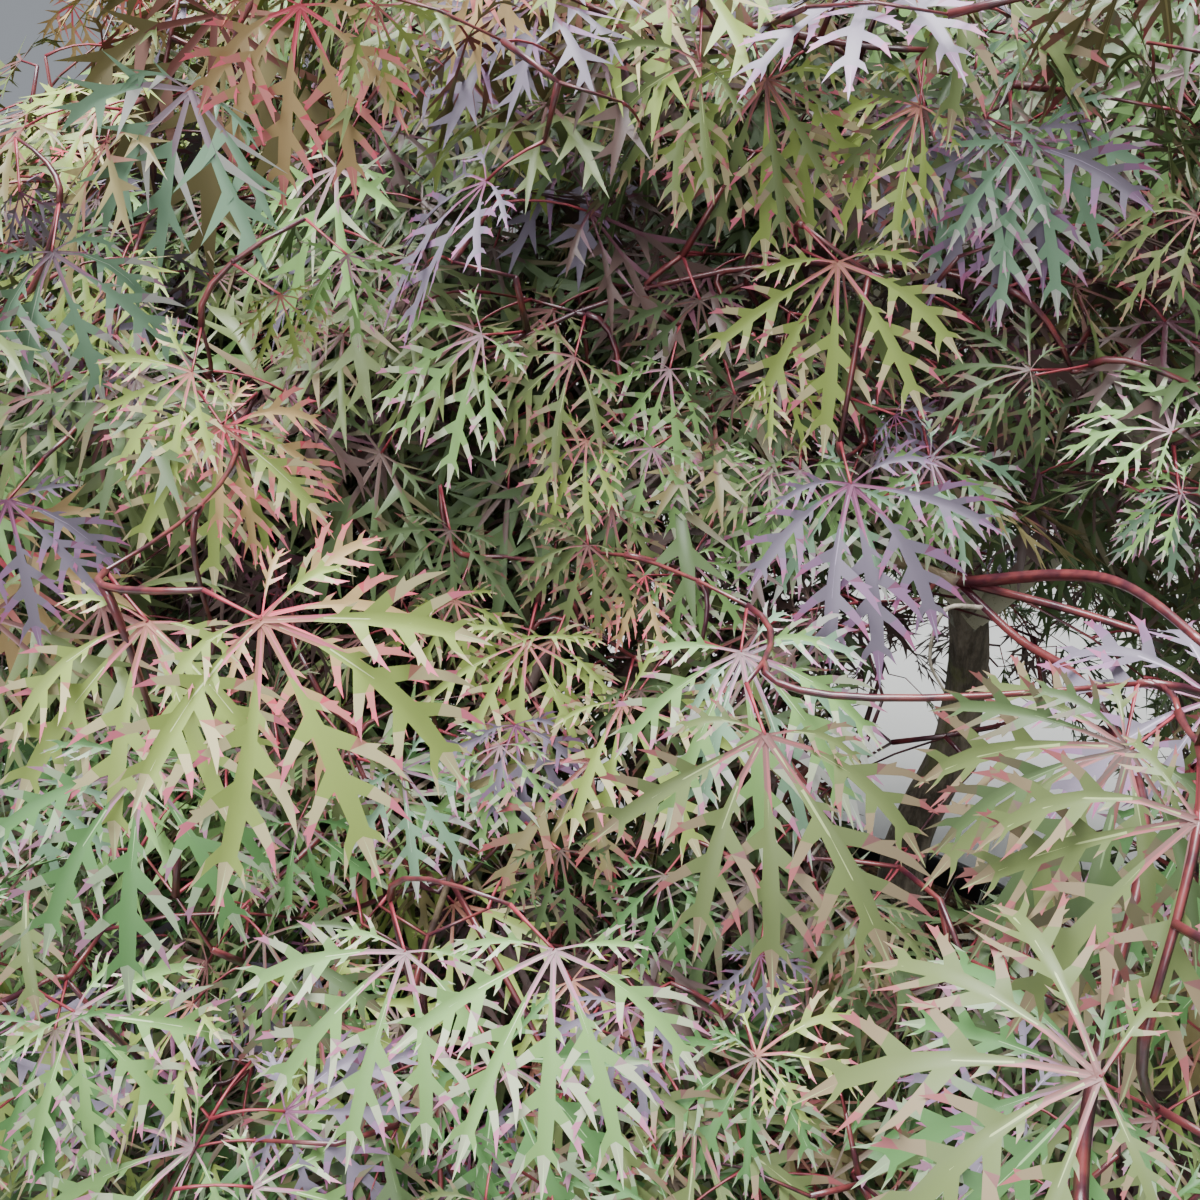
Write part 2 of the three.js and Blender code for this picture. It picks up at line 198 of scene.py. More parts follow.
class Finish:
    """A material with one Principled shader."""

    def __init__(self, name, color, roughness, **constants):
        self.material = bpy.data.materials.new(name)
        self.material.use_nodes = True
        self.tree = self.material.node_tree
        self.shader = self.tree.nodes["Principled BSDF"]
        self.shader.inputs["Base Color"].default_value = linear(color)
        self.shader.inputs["Roughness"].default_value = roughness
        for socket, value in constants.items():
            self.shader.inputs[socket.replace("_", " ")].default_value = value
        self.place = None

    def node(self, kind, settings, inputs, out=0):
        """Adds a node: its settings first, then the values or links of its sockets."""
        made = self.tree.nodes.new(kind)
        for name, value in settings.items():
            setattr(made, name, value)
        for key, value in inputs.items():
            if isinstance(value, Value):
                self.tree.links.new(value.socket, made.inputs[key])
            else:
                made.inputs[key].default_value = value
        return Value(self, made.outputs[out])

    def coordinates(self, stretch=(1, 1, 1)):
        """Object coordinates, stretched along each axis."""
        if self.place is None:
            self.place = self.node("ShaderNodeTexCoord", {}, {}, "Object")
        return self.node("ShaderNodeMapping", {}, {"Vector": self.place, "Scale": stretch})

    def grain(self, scale, detail=4, rough=0.6, stretch=(1, 1, 1)):
        """Noise from 0 to 1. scale is in patches per metre."""
        settings = {"Vector": self.coordinates(stretch), "Scale": scale}
        settings.update({"Detail": detail, "Roughness": rough})
        return self.node("ShaderNodeTexNoise", {}, settings)

    def cells(self, scale, stretch=(1, 1, 1)):
        """The distance to the nearest of many scattered points. scale is in points per metre."""
        settings = {"Vector": self.coordinates(stretch), "Scale": scale}
        return self.node("ShaderNodeTexVoronoi", {"feature": "F1"}, settings)

    def between(self, value, low, high):
        """0 where value is below low, 1 above high, and smooth between."""
        settings = {"Value": value, "From Min": low, "From Max": high}
        return self.node("ShaderNodeMapRange", {"interpolation_type": "SMOOTHSTEP"}, settings)

    def blend(self, share, a, b):
        """A colour between two colours, which are hex digits or other blends."""
        a, b = (linear(c) if isinstance(c, str) else c for c in (a, b))
        settings = {"data_type": "RGBA"}
        return self.node("ShaderNodeMix", settings, {"Factor": share, 6: a, 7: b}, 2)

    def feed(self, socket, value):
        """Lets a value drive a socket of the shader."""
        self.tree.links.new(value.socket, self.shader.inputs[socket])

    def mottle(self, tone, low, high, dark, light):
        """A base colour that goes from dark to light as tone goes from low to high."""
        self.feed("Base Color", self.blend(self.between(tone, low, high), dark, light))

    def bump(self, height, distance, strength=1.0):
        """A fine relief. distance is its depth in metres."""
        settings = {"Height": height, "Distance": distance, "Strength": strength}
        self.feed("Normal", self.node("ShaderNodeBump", {}, settings))


# %% [markdown]
# ## Pieces
# A finished piece is one mesh object at the origin. It rides on the one body of this part, and the
# solids that it stands for are hidden.


# %% Handing a piece in
def hand_in(piece, nodes=()):
    """Puts a finished piece in the scene on the root body, and hides the solids that it stands for."""
    if piece.name not in bpy.context.scene.collection.objects:
        bpy.context.scene.collection.objects.link(piece)
    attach(piece, "root")
    if nodes:
        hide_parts(*nodes)
    faces = sum(len(p.vertices) - 2 for p in piece.data.polygons)
    print(f"{piece.name}: {faces} triangles for {len(nodes)} solids")
    return faces


def piece_from(name, bm, finishes, smooth=True):
    """A mesh object from a bmesh, with its finishes, shaded smooth unless told not to."""
    mesh = bpy.data.meshes.new(name)
    bm.to_mesh(mesh)
    bm.free()
    for finish in finishes:
        mesh.materials.append(finish.material)
    if smooth:
        mesh.shade_smooth()
    return bpy.data.objects.new(name, mesh)


def piece_from_arrays(name, points, faces, finishes, tints=None, smooth=True):
    """A mesh object from rows of points and blocks of faces. A block's faces have one size."""
    mesh = bpy.data.meshes.new(name)
    mesh.vertices.add(len(points))
    mesh.vertices.foreach_set("co", np.asarray(points, np.float32).ravel())
    blocks = [np.asarray(block, np.int32) for block in faces if len(block)]
    corners = np.concatenate([block.ravel() for block in blocks])
    sizes = np.concatenate([np.full(len(block), block.shape[1], np.int32) for block in blocks])
    mesh.loops.add(len(corners))
    mesh.loops.foreach_set("vertex_index", corners)
    mesh.polygons.add(len(sizes))
    starts = np.concatenate([[0], np.cumsum(sizes)[:-1]]).astype(np.int32)
    mesh.polygons.foreach_set("loop_start", starts)
    for finish in finishes:
        mesh.materials.append(finish.material)
    if tints is not None:
        mesh.polygons.foreach_set("material_index", np.asarray(tints, np.int32))
    mesh.update(calc_edges=True)
    if smooth:
        mesh.shade_smooth()
    return bpy.data.objects.new(name, mesh)


# %% [markdown]
# ## The container
# A nursery container is blow-moulded from black plastic: a thin tapering wall, a stepped heel, a
# wide rolled rim for lifting, and drainage notches round its foot. Its outline is spun round the
# middle, because every level of it is a circle, and the notches are pressed in afterwards.

# %% Container
POT_MOUTH = 0.246
POT_HEIGHT = 0.425
POT_WALL = 0.0035
POT_RIM = 0.009
POT_RIM_DEPTH = 0.026
POT_TURNS = 120


def spun(outline, turns):
    """A round shell from (radius, height) pairs, closed at both ends of its axis."""
    bm = bmesh.new()
    corners = [bm.verts.new((radius, 0, height)) for radius, height in outline]
    edges = [bm.edges.new(pair) for pair in zip(corners, corners[1:])]
    bmesh.ops.spin(
        bm,
        geom=corners + edges,
        cent=(0, 0, 0),
        axis=(0, 0, 1),
        angle=2 * math.pi,
        steps=turns,
        use_merge=True,
        use_normal_flip=False,
        use_duplicate=False,
    )
    bmesh.ops.remove_doubles(bm, verts=bm.verts, dist=1e-5)
    bmesh.ops.recalc_face_normals(bm, faces=bm.faces)
    return bm


rim_out = POT_MOUTH + POT_RIM
under_rim = POT_HEIGHT - POT_RIM_DEPTH
pot_outline = [
    (0, 0.003),  # the underside
    (0.150, 0.003),
    (0.156, 0.0),
    (0.193, 0.0),
    (0.1975, 0.0012),
    (0.1995, 0.004),
    (0.2015, 0.030),  # the wall, with a step near its foot and one below its rim
    (0.2030, 0.058),
    (0.2040, 0.061),
    (0.2052, 0.064),
    (0.2130, 0.135),
    (0.2225, 0.215),
    (0.2320, 0.300),
    (0.2335, 0.302),
    (0.2345, 0.306),
    (0.2415, under_rim - 0.006),
    (0.2425, under_rim - 0.001),
    (rim_out - 0.002, under_rim),  # the rolled rim
    (rim_out, under_rim + 0.002),
    (rim_out, under_rim + 0.010),
    (rim_out - 0.001, under_rim + 0.012),
    (rim_out, under_rim + 0.014),
    (rim_out, POT_HEIGHT - 0.005),
    (rim_out - 0.0015, POT_HEIGHT - 0.0015),
    (rim_out - 0.005, POT_HEIGHT),
    (POT_MOUTH + 0.002, POT_HEIGHT),
    (POT_MOUTH - 0.0015, POT_HEIGHT - 0.0015),
    (POT_MOUTH - POT_WALL, POT_HEIGHT - 0.006),  # the inside
    (0.2385, under_rim),
    (0.1995, 0.060),
    (0.1965, 0.008),
    (0, 0.006),
]
pot = spun(pot_outline, POT_TURNS)

# %% Drainage notches, and the plastic
NOTCHES = 12  # drainage notches round the foot
NOTCH_DEPTH = 0.0022
NOTCH_HALF = 0.09  # half of a notch's width, as a share of the way to the next one
NOTCH_FROM = 0.002
NOTCH_TO = 0.040
NOTCH_RADIUS = 0.198  # only the outer wall is pressed in
for vert in pot.verts:
    angle = math.atan2(vert.co.y, vert.co.x) * NOTCHES / (2 * math.pi)
    in_notch = abs(angle - round(angle)) < NOTCH_HALF
    radius = math.hypot(vert.co.x, vert.co.y)
    if in_notch and NOTCH_FROM < vert.co.z < NOTCH_TO and radius > NOTCH_RADIUS:
        vert.co.x *= 1 - NOTCH_DEPTH / radius
        vert.co.y *= 1 - NOTCH_DEPTH / radius

black_plastic = Finish("black_plastic", "#1b1d1f", 0.42)
pot_dust = black_plastic.grain(14, 6, 0.7)
pot_scuffs = black_plastic.between(black_plastic.grain(90, 3, 0.6, (1, 1, 0.12)), 0.62, 0.72)
pot_dusty = black_plastic.between(pot_dust, 0.42, 0.72)
black_plastic.feed("Base Color", black_plastic.blend(pot_dusty * 0.5, "#17181a", "#3a3832"))
black_plastic.feed("Roughness", 0.36 + pot_dusty * 0.25 + pot_scuffs * 0.12)
black_plastic.bump(black_plastic.grain(900, 2) + pot_scuffs * 0.4, 0.0002, 0.5)
hand_in(piece_from("container_shell", pot, [black_plastic]), ["container"])

# %% [markdown]
# ## The potting mix
# The container is filled with composted bark to a hand's breadth round the trunk, a little lower
# at the wall. The bed is a spun shell with its top roughened, and loose chips and a few pale
# fertiliser prills lie on it. Hundreds of chips are one mesh made from arrays of points.

# %% Bed of the mix
MIX_LEVEL = 0.400
MIX_DIP = 0.008
MIX_FLAT = 0.120
MIX_EDGE = 0.2355
BED_EDGE = 0.2375
BED_RINGS = 52
BED_RING = 0.0045
BED_TURNS = 180
BED_TOP = 0.385  # above this the bed is lumpy, off its edge
LUMPS = ((60, 0.0030), (170, 0.0022))  # lumps per metre and their depth
LUMPS_SUNK = 0.0012


def mix_height(radius):
    """The level of the mix that far from the container's middle."""
    share = np.clip((radius - MIX_FLAT) / (MIX_EDGE - MIX_FLAT), 0, 1)
    return MIX_LEVEL - MIX_DIP * share


bed_outline = [(0, 0.0065), (0.1955, 0.0065), (0.1985, 0.060), (BED_EDGE, 0.380), (BED_EDGE, 0.390)]
for radius in [BED_EDGE - BED_RING * ring for ring in range(1, BED_RINGS + 1)] + [0]:
    bed_outline.append((radius, float(mix_height(radius)) - 0.001))
bed = spun(bed_outline, BED_TURNS)
for vert in bed.verts:
    radius = math.hypot(vert.co.x, vert.co.y)
    if vert.co.z > BED_TOP and radius < MIX_EDGE:
        spot = Vector((vert.co.x, vert.co.y, 0))
        vert.co.z += sum(depth * noise.noise(spot * scale) for scale, depth in LUMPS) - LUMPS_SUNK

bark_mix = Finish("bark_mix", "#3d2d20", 0.95)
mix_lumps = bark_mix.cells(160)
mix_tone = bark_mix.grain(70, 5, 0.7)
dark_mix = bark_mix.blend(bark_mix.between(mix_tone, 0.35, 0.65), "#20170f", "#4e3a28")
bark_mix.feed("Base Color", bark_mix.blend(bark_mix.between(mix_lumps, 0.3, 0.7), dark_mix, "#5d4733"))
bark_mix.bump(mix_lumps + mix_tone, 0.002)
hand_in(piece_from("mix_bed", bed, [bark_mix]), ["potting_mix"])

# %% Tools for small things in numbers
TRUNK_FOOT = np.array((0.04, 0.0))
OFF_WALL = 0.010  # how far chips and prills keep off the edge of the mix


def turned_frames(count, random, tilt):
    """Rows of three axes each, turned anyhow about Z and tilted a little."""
    spin = random.uniform(0, 2 * math.pi, count)
    a = np.stack([np.cos(spin), np.sin(spin), random.uniform(-tilt, tilt, count)], 1)
    b = np.stack([-np.sin(spin), np.cos(spin), random.uniform(-tilt, tilt, count)], 1)
    a = unit(a)
    b = unit(b - a * np.sum(a * b, 1, keepdims=True))
    return np.stack([a, b, np.cross(a, b)], 1)


def scatter_on_mix(count, random, least_from_trunk):
    """Points on the mix, off the trunk and inside the wall."""
    spots = random.uniform(-MIX_EDGE, MIX_EDGE, (count * 3, 2))
    inside = np.hypot(*spots.T) < MIX_EDGE - OFF_WALL
    off_trunk = np.hypot(*(spots - TRUNK_FOOT).T) > least_from_trunk
    spots = spots[inside & off_trunk][:count]
    return np.column_stack([spots, mix_height(np.hypot(*spots.T))])


def template_of(bm):
    """The points and faces of a small shape that is then repeated by arrays."""
    bm.verts.ensure_lookup_table()
    bm.verts.index_update()
    points = np.array([vert.co for vert in bm.verts])
    faces = np.array([[vert.index for vert in face.verts] for face in bm.faces])
    bm.free()
    return points, faces


def copies(points, faces):
    """One list of points and one of faces, from rows of a template's placed points."""
    first = np.arange(len(points))[:, None, None] * points.shape[1]
    return points.reshape(-1, 3), (faces + first).reshape(-1, 3)


# %% Bark chips that lie on the mix
CHIPS = 1200
CHIPS_FROM_TRUNK = 0.052
CHIP_LENGTH = 0.011  # of the middle one
CHIP_LENGTHS = (0.005, 0.032)  # shortest and longest
CHIP_SPREAD = 0.45  # of the lengths' logarithms
CHIP_WIDTHS = (0.35, 0.8)  # narrowest and widest, as shares of the length
CHIP_THICKNESS = 0.22
CHIP_TILT = 0.35
CHIP_PLAY = (0.75, 1.25)  # how much a corner may lie nearer or further out
CHIP_LIFT = 0.3  # how high a chip lies, as a share of its thickness

random = np.random.default_rng(11)
chip = bmesh.new()
bmesh.ops.create_cube(chip, size=1)
bmesh.ops.bevel(
    chip,
    geom=[edge for edge in chip.edges if abs(edge.verts[0].co.z - edge.verts[1].co.z) > 0.5],
    offset=0.25,
    offset_type="OFFSET",
    affect="EDGES",
    segments=1,
    profile=0.5,
    material=-1,
)
bmesh.ops.triangulate(chip, faces=chip.faces)
chip_points, chip_faces = template_of(chip)
spots = scatter_on_mix(CHIPS, random, CHIPS_FROM_TRUNK)
length = random.lognormal(math.log(CHIP_LENGTH), CHIP_SPREAD, len(spots)).clip(*CHIP_LENGTHS)
width = length * random.uniform(*CHIP_WIDTHS, len(spots))
sizes = np.stack([length, width, length * CHIP_THICKNESS], 1)
frames = turned_frames(len(spots), random, CHIP_TILT)
shapes = chip_points * random.uniform(*CHIP_PLAY, (len(spots), len(chip_points), 3))
placed = np.einsum("kpi,kij->kpj", shapes * sizes[:, None, :], frames) + spots[:, None, :]
placed[:, :, 2] += (sizes[:, 2] * CHIP_LIFT)[:, None]

CHIP_COLORS = {
    "red": ("#4a2c1c", "#7a4c30"),
    "brown": ("#3a281a", "#6a5038"),
    "grey": ("#4d463c", "#857a68"),
}
chip_finishes = []
for name, (low, high) in CHIP_COLORS.items():
    bark_chip = Finish(f"{name}_bark_chip", high, 0.9)
    fibre = bark_chip.grain(260, 5, 0.7)
    bark_chip.mottle(fibre, 0.35, 0.65, low, high)
    bark_chip.bump(fibre, 0.0008)
    chip_finishes.append(bark_chip)
tints = np.repeat(random.integers(0, 3, len(spots)), len(chip_faces))
points, faces = copies(placed, chip_faces)
chips = piece_from_arrays("bark_chips", points, [faces], chip_finishes, tints, False)
hand_in(chips)

# %% Fertiliser prills
PRILLS = 90
PRILLS_FROM_TRUNK = 0.058
PRILL_RADII = (0.0013, 0.0019)
PRILL_LIFT = 0.004

prill = bmesh.new()
bmesh.ops.create_icosphere(prill, subdivisions=1, radius=1)
prill_points, prill_faces = template_of(prill)
spots = scatter_on_mix(PRILLS, random, PRILLS_FROM_TRUNK)
radii = random.uniform(*PRILL_RADII, len(spots))
placed = prill_points * radii[:, None, None] + (spots + UP * PRILL_LIFT)[:, None, :]
fertiliser = Finish("fertiliser_prill", "#c9b58a", 0.45)
fertiliser.feed("Base Color", fertiliser.blend(fertiliser.grain(500, 2), "#a88f5c", "#d8caa0"))
points, faces = copies(placed, prill_faces)
hand_in(piece_from_arrays("fertiliser_prills", points, [faces], [fertiliser]))

# %% [markdown]
# ## The lines of the limbs
# Trunk and boughs follow smooth curves. A curve through given points could be a Blender curve, but
# the foliage has to start exactly where the limbs end, so the curves are worked out here: many
# points along each, with the length up to each one, from which any share of the length is read.


# %% Smooth lines
class Line:
    """A smooth line as many points, read by the share of its length."""

    def __init__(self, points):
        self.points = np.asarray(points, float)
        steps = np.linalg.norm(np.diff(self.points, axis=0), axis=1)
        self.lengths = np.concatenate([[0], np.cumsum(steps)])
        self.length = self.lengths[-1]

    def at(self, share):
        spot = np.asarray(share) * self.length
        return np.stack([np.interp(spot, self.lengths, p) for p in self.points.T], -1)

    def way(self, share):
        """The direction of the line at a share of its length."""
        share = np.asarray(share, float)
        return unit(self.at(np.minimum(share + 0.004, 1)) - self.at(np.maximum(share - 0.004, 0)))


def line_through(knots, steps=60):
    """A smooth line through knots, which bends least where they lie close together."""
    knots = np.asarray(knots, float)
    ends = np.vstack([2 * knots[0] - knots[1], knots, 2 * knots[-1] - knots[-2]])
    points = []
    for p0, p1, p2, p3 in zip(ends, ends[1:], ends[2:], ends[3:]):
        d0, d1, d2 = (math.sqrt(np.linalg.norm(b - a)) for a, b in ((p0, p1), (p1, p2), (p2, p3)))
        m1 = d1 * ((p1 - p0) / d0 - (p2 - p0) / (d0 + d1) + (p2 - p1) / d1)
        m2 = d1 * ((p2 - p1) / d1 - (p3 - p1) / (d1 + d2) + (p3 - p2) / d2)
        t = np.linspace(0, 1, steps, endpoint=False)[:, None]
        curve = p1 + m1 * t + (3 * (p2 - p1) - 2 * m1 - m2) * t**2
        points.append(curve + (2 * (p1 - p2) + m1 + m2) * t**3)
    return Line(np.vstack(points + [knots[-1:]]))


def line_between(start, near, far, end, steps=120):
    """A smooth line that leaves start towards near and reaches end from far."""
    t = np.linspace(0, 1, steps)[:, None]
    return Line(
        start * (1 - t) ** 3 + 3 * near * t * (1 - t) ** 2 + 3 * far * t**2 * (1 - t) + end * t**3
    )


def arc(start, over, end, t):
    """Points of a bend from start to end that is drawn towards over."""
    return start * (1 - t) ** 2 + 2 * over * t * (1 - t) + end * t**2


# %% The trunk's line
TRUNK_GIRTH = 0.023
TRUNK_TIP = 0.008
TRUNK_TAPER = 1.25
FLARE = 0.016
FLARE_HEIGHT = 0.055
BUTTRESSES = 5
TRUNK_BENDS = [  # height above the mix, across, back
    (0, 0, 0),
    (0.040, 0, 0),
    (0.190, -0.011, 0.006),
    (0.330, 0.024, 0.012),
    (0.480, 0.008, -0.006),
    (0.620, -0.040, 0.004),
    (0.830, -0.070, 0.010),
    (0.930, -0.066, 0),
]
trunk_line = line_through(
    [(TRUNK_FOOT[0] + across, back, MIX_LEVEL + 0.0003 + up) for up, across, back in TRUNK_BENDS]
)
print("the trunk is", round(trunk_line.length, 3), "m long, with its tip at", trunk_line.at(1).round(3))
print("its foot shows at pixel", pixels_of(trunk_line.at(0))[0].round())

# %% Rings of boughs
CROWN_X = -0.020
CROWN_RADIUS = 0.850
CROWN_TOP = 1.520
CROWN_WIDEST = 0.900
CROWN_HEM = 0.505
CROWN_TUCK = 0.05

RINGS = {
    "upper": {
        "count": 5,
        "bearing": -62,
        "start": (1.130, 1.235),
        "tip": (0.170, 1.350),
        "rise": 0.040,
        "thick": (0.0080, 0.0045),
        "middle": (0.330, 1.385),
        "stem": 0.270,
        "sag": 1.6,
        "lift": 0.015,
        "twig": (0.120, 0.080),
    },
    "shoulder": {
        "count": 8,
        "bearing": -12,
        "start": (0.845, 1.090),
        "tip": (0.400, 1.225),
        "rise": 0.110,
        "thick": (0.0125, 0.0050),
        "middle": (0.575, 1.260),
        "stem": 0.330,
        "sag": 2.1,
        "lift": 0.025,
        "twig": (0.130, 0.110),
    },
    "skirt": {
        "count": 10,
        "bearing": -90,
        "start": (0.42, 0.60),
        "tip": (0.600, 1.025),
        "rise": 0.060,
        "thick": (0.0070, 0.0040),
        "middle": (0.740, 0.870),
        "stem": 0.560,
        "sag": 4.1,
        "lift": 0.0,
        "twig": (0.100, 0.090),
    },
}
BEARING_PLAY = 14
REACH_PLAY = 0.08
HEIGHT_PLAY = 0.050
EASE = 0.35
SPREAD = 0.618  # shares out the boughs' starts evenly, one after the other
FIRST_START = 0.1


def place(bearing, radius, height):
    """The point that far from the crown's middle line, on a bearing and at a height."""
    return np.array((CROWN_X + radius * math.cos(bearing), radius * math.sin(bearing), height))


def apart(a, b):
    """The angle between two bearings."""
    return abs(math.atan2(math.sin(a - b), math.cos(a - b)))


# %% Boughs and the masses of foliage that they carry
boughs = []
masses = []


def add_mass(node, ring_name, seed, line, middle, radius, **habit):
    """Keeps a mass that grows on from the end of a limb. Its habit is its stem, sag and twigs."""
    mass = {"node": node, "ring": ring_name, "seed": seed, "middle": middle, "radius": radius}
    mass.update(habit, start=line.at(1), heading=line.way(1))
    masses.append(mass)


for ring_index, (ring_name, ring) in enumerate(RINGS.items()):
    roll = dice(100 + ring_index)
    for i in range(ring["count"]):
        bearing = math.radians(ring["bearing"] + 360 / ring["count"] * i + (roll() - 0.5) * BEARING_PLAY)
        from_share = mix(*ring["start"], (i * SPREAD + FIRST_START) % 1)
        if ring_name == "skirt":
            shoulders = [bough for bough in boughs if bough["ring"] == "shoulder"]
            parent = min(shoulders, key=lambda bough: apart(bough["bearing"], bearing))
            start = parent["line"].at(from_share)
        else:
            height = trunk_line.points[:, 2]
            start = np.array([np.interp(from_share, height, p) for p in trunk_line.points.T])
        reach = ring["tip"][0] * (1 + (roll() - 0.5) * REACH_PLAY)
        end = place(bearing, reach, ring["tip"][1] + (roll() - 0.5) * HEIGHT_PLAY)
        middle = place(bearing, *ring["middle"])
        heading = unit(middle - end + UP * ring["lift"])
        near = start + (end - start) * EASE
        near[2] = start[2] + ring["rise"]
        far = end - heading * EASE * np.linalg.norm(end - start)
        line = line_between(start, near, far, end)
        name = f"{ring_name}_bough_{i + 1}"
        boughs.append({"node": name, "ring": ring_name, "bearing": bearing, "line": line})
        node = f"{ring_name}_foliage_{i + 1}"
        seed = 1000 * (ring_index + 1) + i
        habit = {key: ring[key] for key in ("stem", "sag", "twig")}
        add_mass(node, ring_name, seed, line, middle, ring["thick"][1], **habit)

leader_middle = place(math.pi, 0.010, 1.465)
leader = {"stem": 0.150, "sag": 0.0, "twig": (0.090, 0.070)}
add_mass("leader_foliage", "leader", 7, trunk_line, leader_middle, TRUNK_TIP, **leader)
gaps = [np.linalg.norm(np.array(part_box(b["node"])[0]) - b["line"].points.min(0)) for b in boughs]
print(len(boughs), "boughs, whose corners lie within", round(max(gaps), 3), "m of their solids'")

# %% [markdown]
# ## Bark
# The trunk is dark grey-brown with low ridges and olive moss, and the boughs are smoother and
# greener. A smooth tube would look like wire, so each limb's tube has enough faces for real
# ridges, knuckles and a swollen collar where it leaves its parent. The tube is a cylinder cut
# into rings by subdivide_edges, and its rings are then laid along the limb's line.

# %% A tube along a line, with relief


def frames_along(line, shares, first):
    """Two ways across a line at each share, turned as little as possible from one to the next."""
    ways = line.way(shares)
    across = np.zeros_like(ways)
    now = np.asarray(first, float)
    for i, way in enumerate(ways):
        now = unit(now - way * (now @ way))
        across[i] = now
    return across, np.cross(ways, across)


def limb_bmesh(line, radius_at, sides, rings, first):
    """A closed tube. radius_at takes the share of the length and the angle."""
    bm = bmesh.new()
    bmesh.ops.create_cone(bm, cap_ends=True, segments=sides, radius1=1, radius2=1, depth=1)
    lengthwise = [e for e in bm.edges if abs(e.verts[0].co.z - e.verts[1].co.z) > 0.5]
    bmesh.ops.subdivide_edges(bm, edges=lengthwise, cuts=rings - 1, use_grid_fill=True)
    shares = np.linspace(0, 1, rings + 1)
    centres = line.at(shares)
    a, b = frames_along(line, shares, first)
    for vert in bm.verts:
        i = round((vert.co.z + 0.5) * rings)
        angle = math.atan2(vert.co.y, vert.co.x)
        out = a[i] * vert.co.x + b[i] * vert.co.y
        vert.co = Vector(centres[i] + out * radius_at(shares[i], angle))
    bmesh.ops.triangulate(bm, faces=[face for face in bm.faces if len(face.verts) > 4])
    bmesh.ops.recalc_face_normals(bm, faces=bm.faces)
    return bm


def ridges(share, angle, length, around, along):
    """Noise that runs along a limb: long ridges that fork and join."""
    spot = (math.cos(angle) * around, math.sin(angle) * around, share * length * along)
    return noise.fractal(Vector(spot), 0.7, 2.0, 4)


# %% The trunk and its bark
BUTTRESS = 0.45  # how much the flare swells and draws in round the foot
RIDGE = 0.0011
KNUCKLE = 0.0016


def trunk_radius(share, angle):
    """The trunk's taper, root flare, bark ridges and knuckles."""
    taper = mix(TRUNK_GIRTH, TRUNK_TIP, share**TRUNK_TAPER)
    along = share * trunk_line.length
    flare = FLARE * math.exp(-along / FLARE_HEIGHT)
    flare *= 1 + BUTTRESS * math.cos(BUTTRESSES * angle)
    bark = RIDGE * ridges(share, angle, trunk_line.length, 2.6, 16)
    knuckle = KNUCKLE * max(0, noise.noise(Vector((0, 0, along * 26)))) * (1 - share)
    return taper + flare + bark + knuckle


bark = Finish("trunk_bark", "#453e33", 0.9)
bark_tone = bark.grain(38, 6, 0.72, (1, 1, 0.3))
bark_fissure = bark.between(bark.cells(210, (1, 1, 0.22)), 0.05, 0.5)
bark_base = bark.blend(bark.between(bark_tone, 0.35, 0.68), "#3d352c", "#85796a")
bark_moss = bark.between(bark.grain(19, 5, 0.7, (1, 1, 0.6)), 0.5, 0.62)
bark_lichen = bark.between(bark.grain(60, 3, 0.5), 0.64, 0.7)
bark_base = bark.blend(bark_moss * 0.75, bark_base, "#5c6034")
bark.feed("Base Color", bark.blend(bark_lichen * 0.6, bark_base, "#8f9284"))
bark.feed("Roughness", 0.95 - bark_moss * 0.1)
bark.bump(bark_fissure + bark_tone * 0.8 + bark.grain(420, 3) * 0.4, 0.0016)

# %% The boughs' bark
young_bark = Finish("bough_bark", "#57523c", 0.75)
young_tone = young_bark.grain(46, 5, 0.65, (1, 1, 1))
young_base = young_bark.blend(young_bark.between(young_tone, 0.36, 0.66), "#3b3527", "#777355")
young_grey = young_bark.between(young_bark.grain(24, 4, 0.6), 0.5, 0.66)
young_specks = young_bark.between(young_bark.cells(420), 0.12, 0.2)
young_base = young_bark.blend(young_grey * 0.7, young_base, "#8a8d76")
young_base = young_bark.blend(young_specks * 0.7, young_base, "#a9a48c")
axis_distance = young_bark.node(
    "ShaderNodeVectorMath", {"operation": "LENGTH"}, {0: young_bark.coordinates((1, 1, 0))}, "Value"
)
young_shoot = young_bark.between(axis_distance, 0.24, 0.46)
young_bark.feed("Base Color", young_bark.blend(young_shoot * 0.92, young_base, "#3f2624"))
young_bark.feed("Roughness", 0.62 + young_tone * 0.25)
young_bark.bump(young_tone + young_bark.grain(300, 3) * 0.4 + young_specks * 0.3, 0.0008)

TRUNK_SIDES = 60
TRUNK_RINGS = 260
trunk_bm = limb_bmesh(trunk_line, trunk_radius, TRUNK_SIDES, TRUNK_RINGS, (1, 0, 0))
hand_in(piece_from("trunk_with_bark", trunk_bm, [bark]), ["trunk"])

# %% The boughs, one piece for each ring of them
COLLAR = 0.55  # how far a bough swells where it leaves its parent, as a share of its radius
COLLAR_LENGTH = 0.018
BOUGH_SLIM = 0.62  # how much slimmer than its solid a bough gets at its end
SLIM_FROM = 0.55
BOUGH_RIDGE = 0.06  # ridges and swellings as shares of a bough's radius
BOUGH_KNUCKLE = 0.10
BOUGH_SIDES = 14
BOUGH_RING = 0.0055  # metres from one ring of points to the next


def bough_radius(bough):
    """A bough's taper, with a collar at its foot, ridges and the swellings of old joints."""
    thick, thin = RINGS[bough["ring"]]["thick"]
    length = bough["line"].length

    def radius_at(share, angle):
        collar = 1 + COLLAR * math.exp(-share * length / COLLAR_LENGTH)
        bark = BOUGH_RIDGE * ridges(share, angle, length, 1.6, 22)
        along = share * length * 30
        knuckle = BOUGH_KNUCKLE * max(0, noise.noise(Vector((bough["bearing"], 0, along))))
        slim = 1 - BOUGH_SLIM * max(0, (share - SLIM_FROM) / (1 - SLIM_FROM)) ** 1.4
        return mix(thick, thin, share) * slim * (collar + bark + knuckle)

    return radius_at


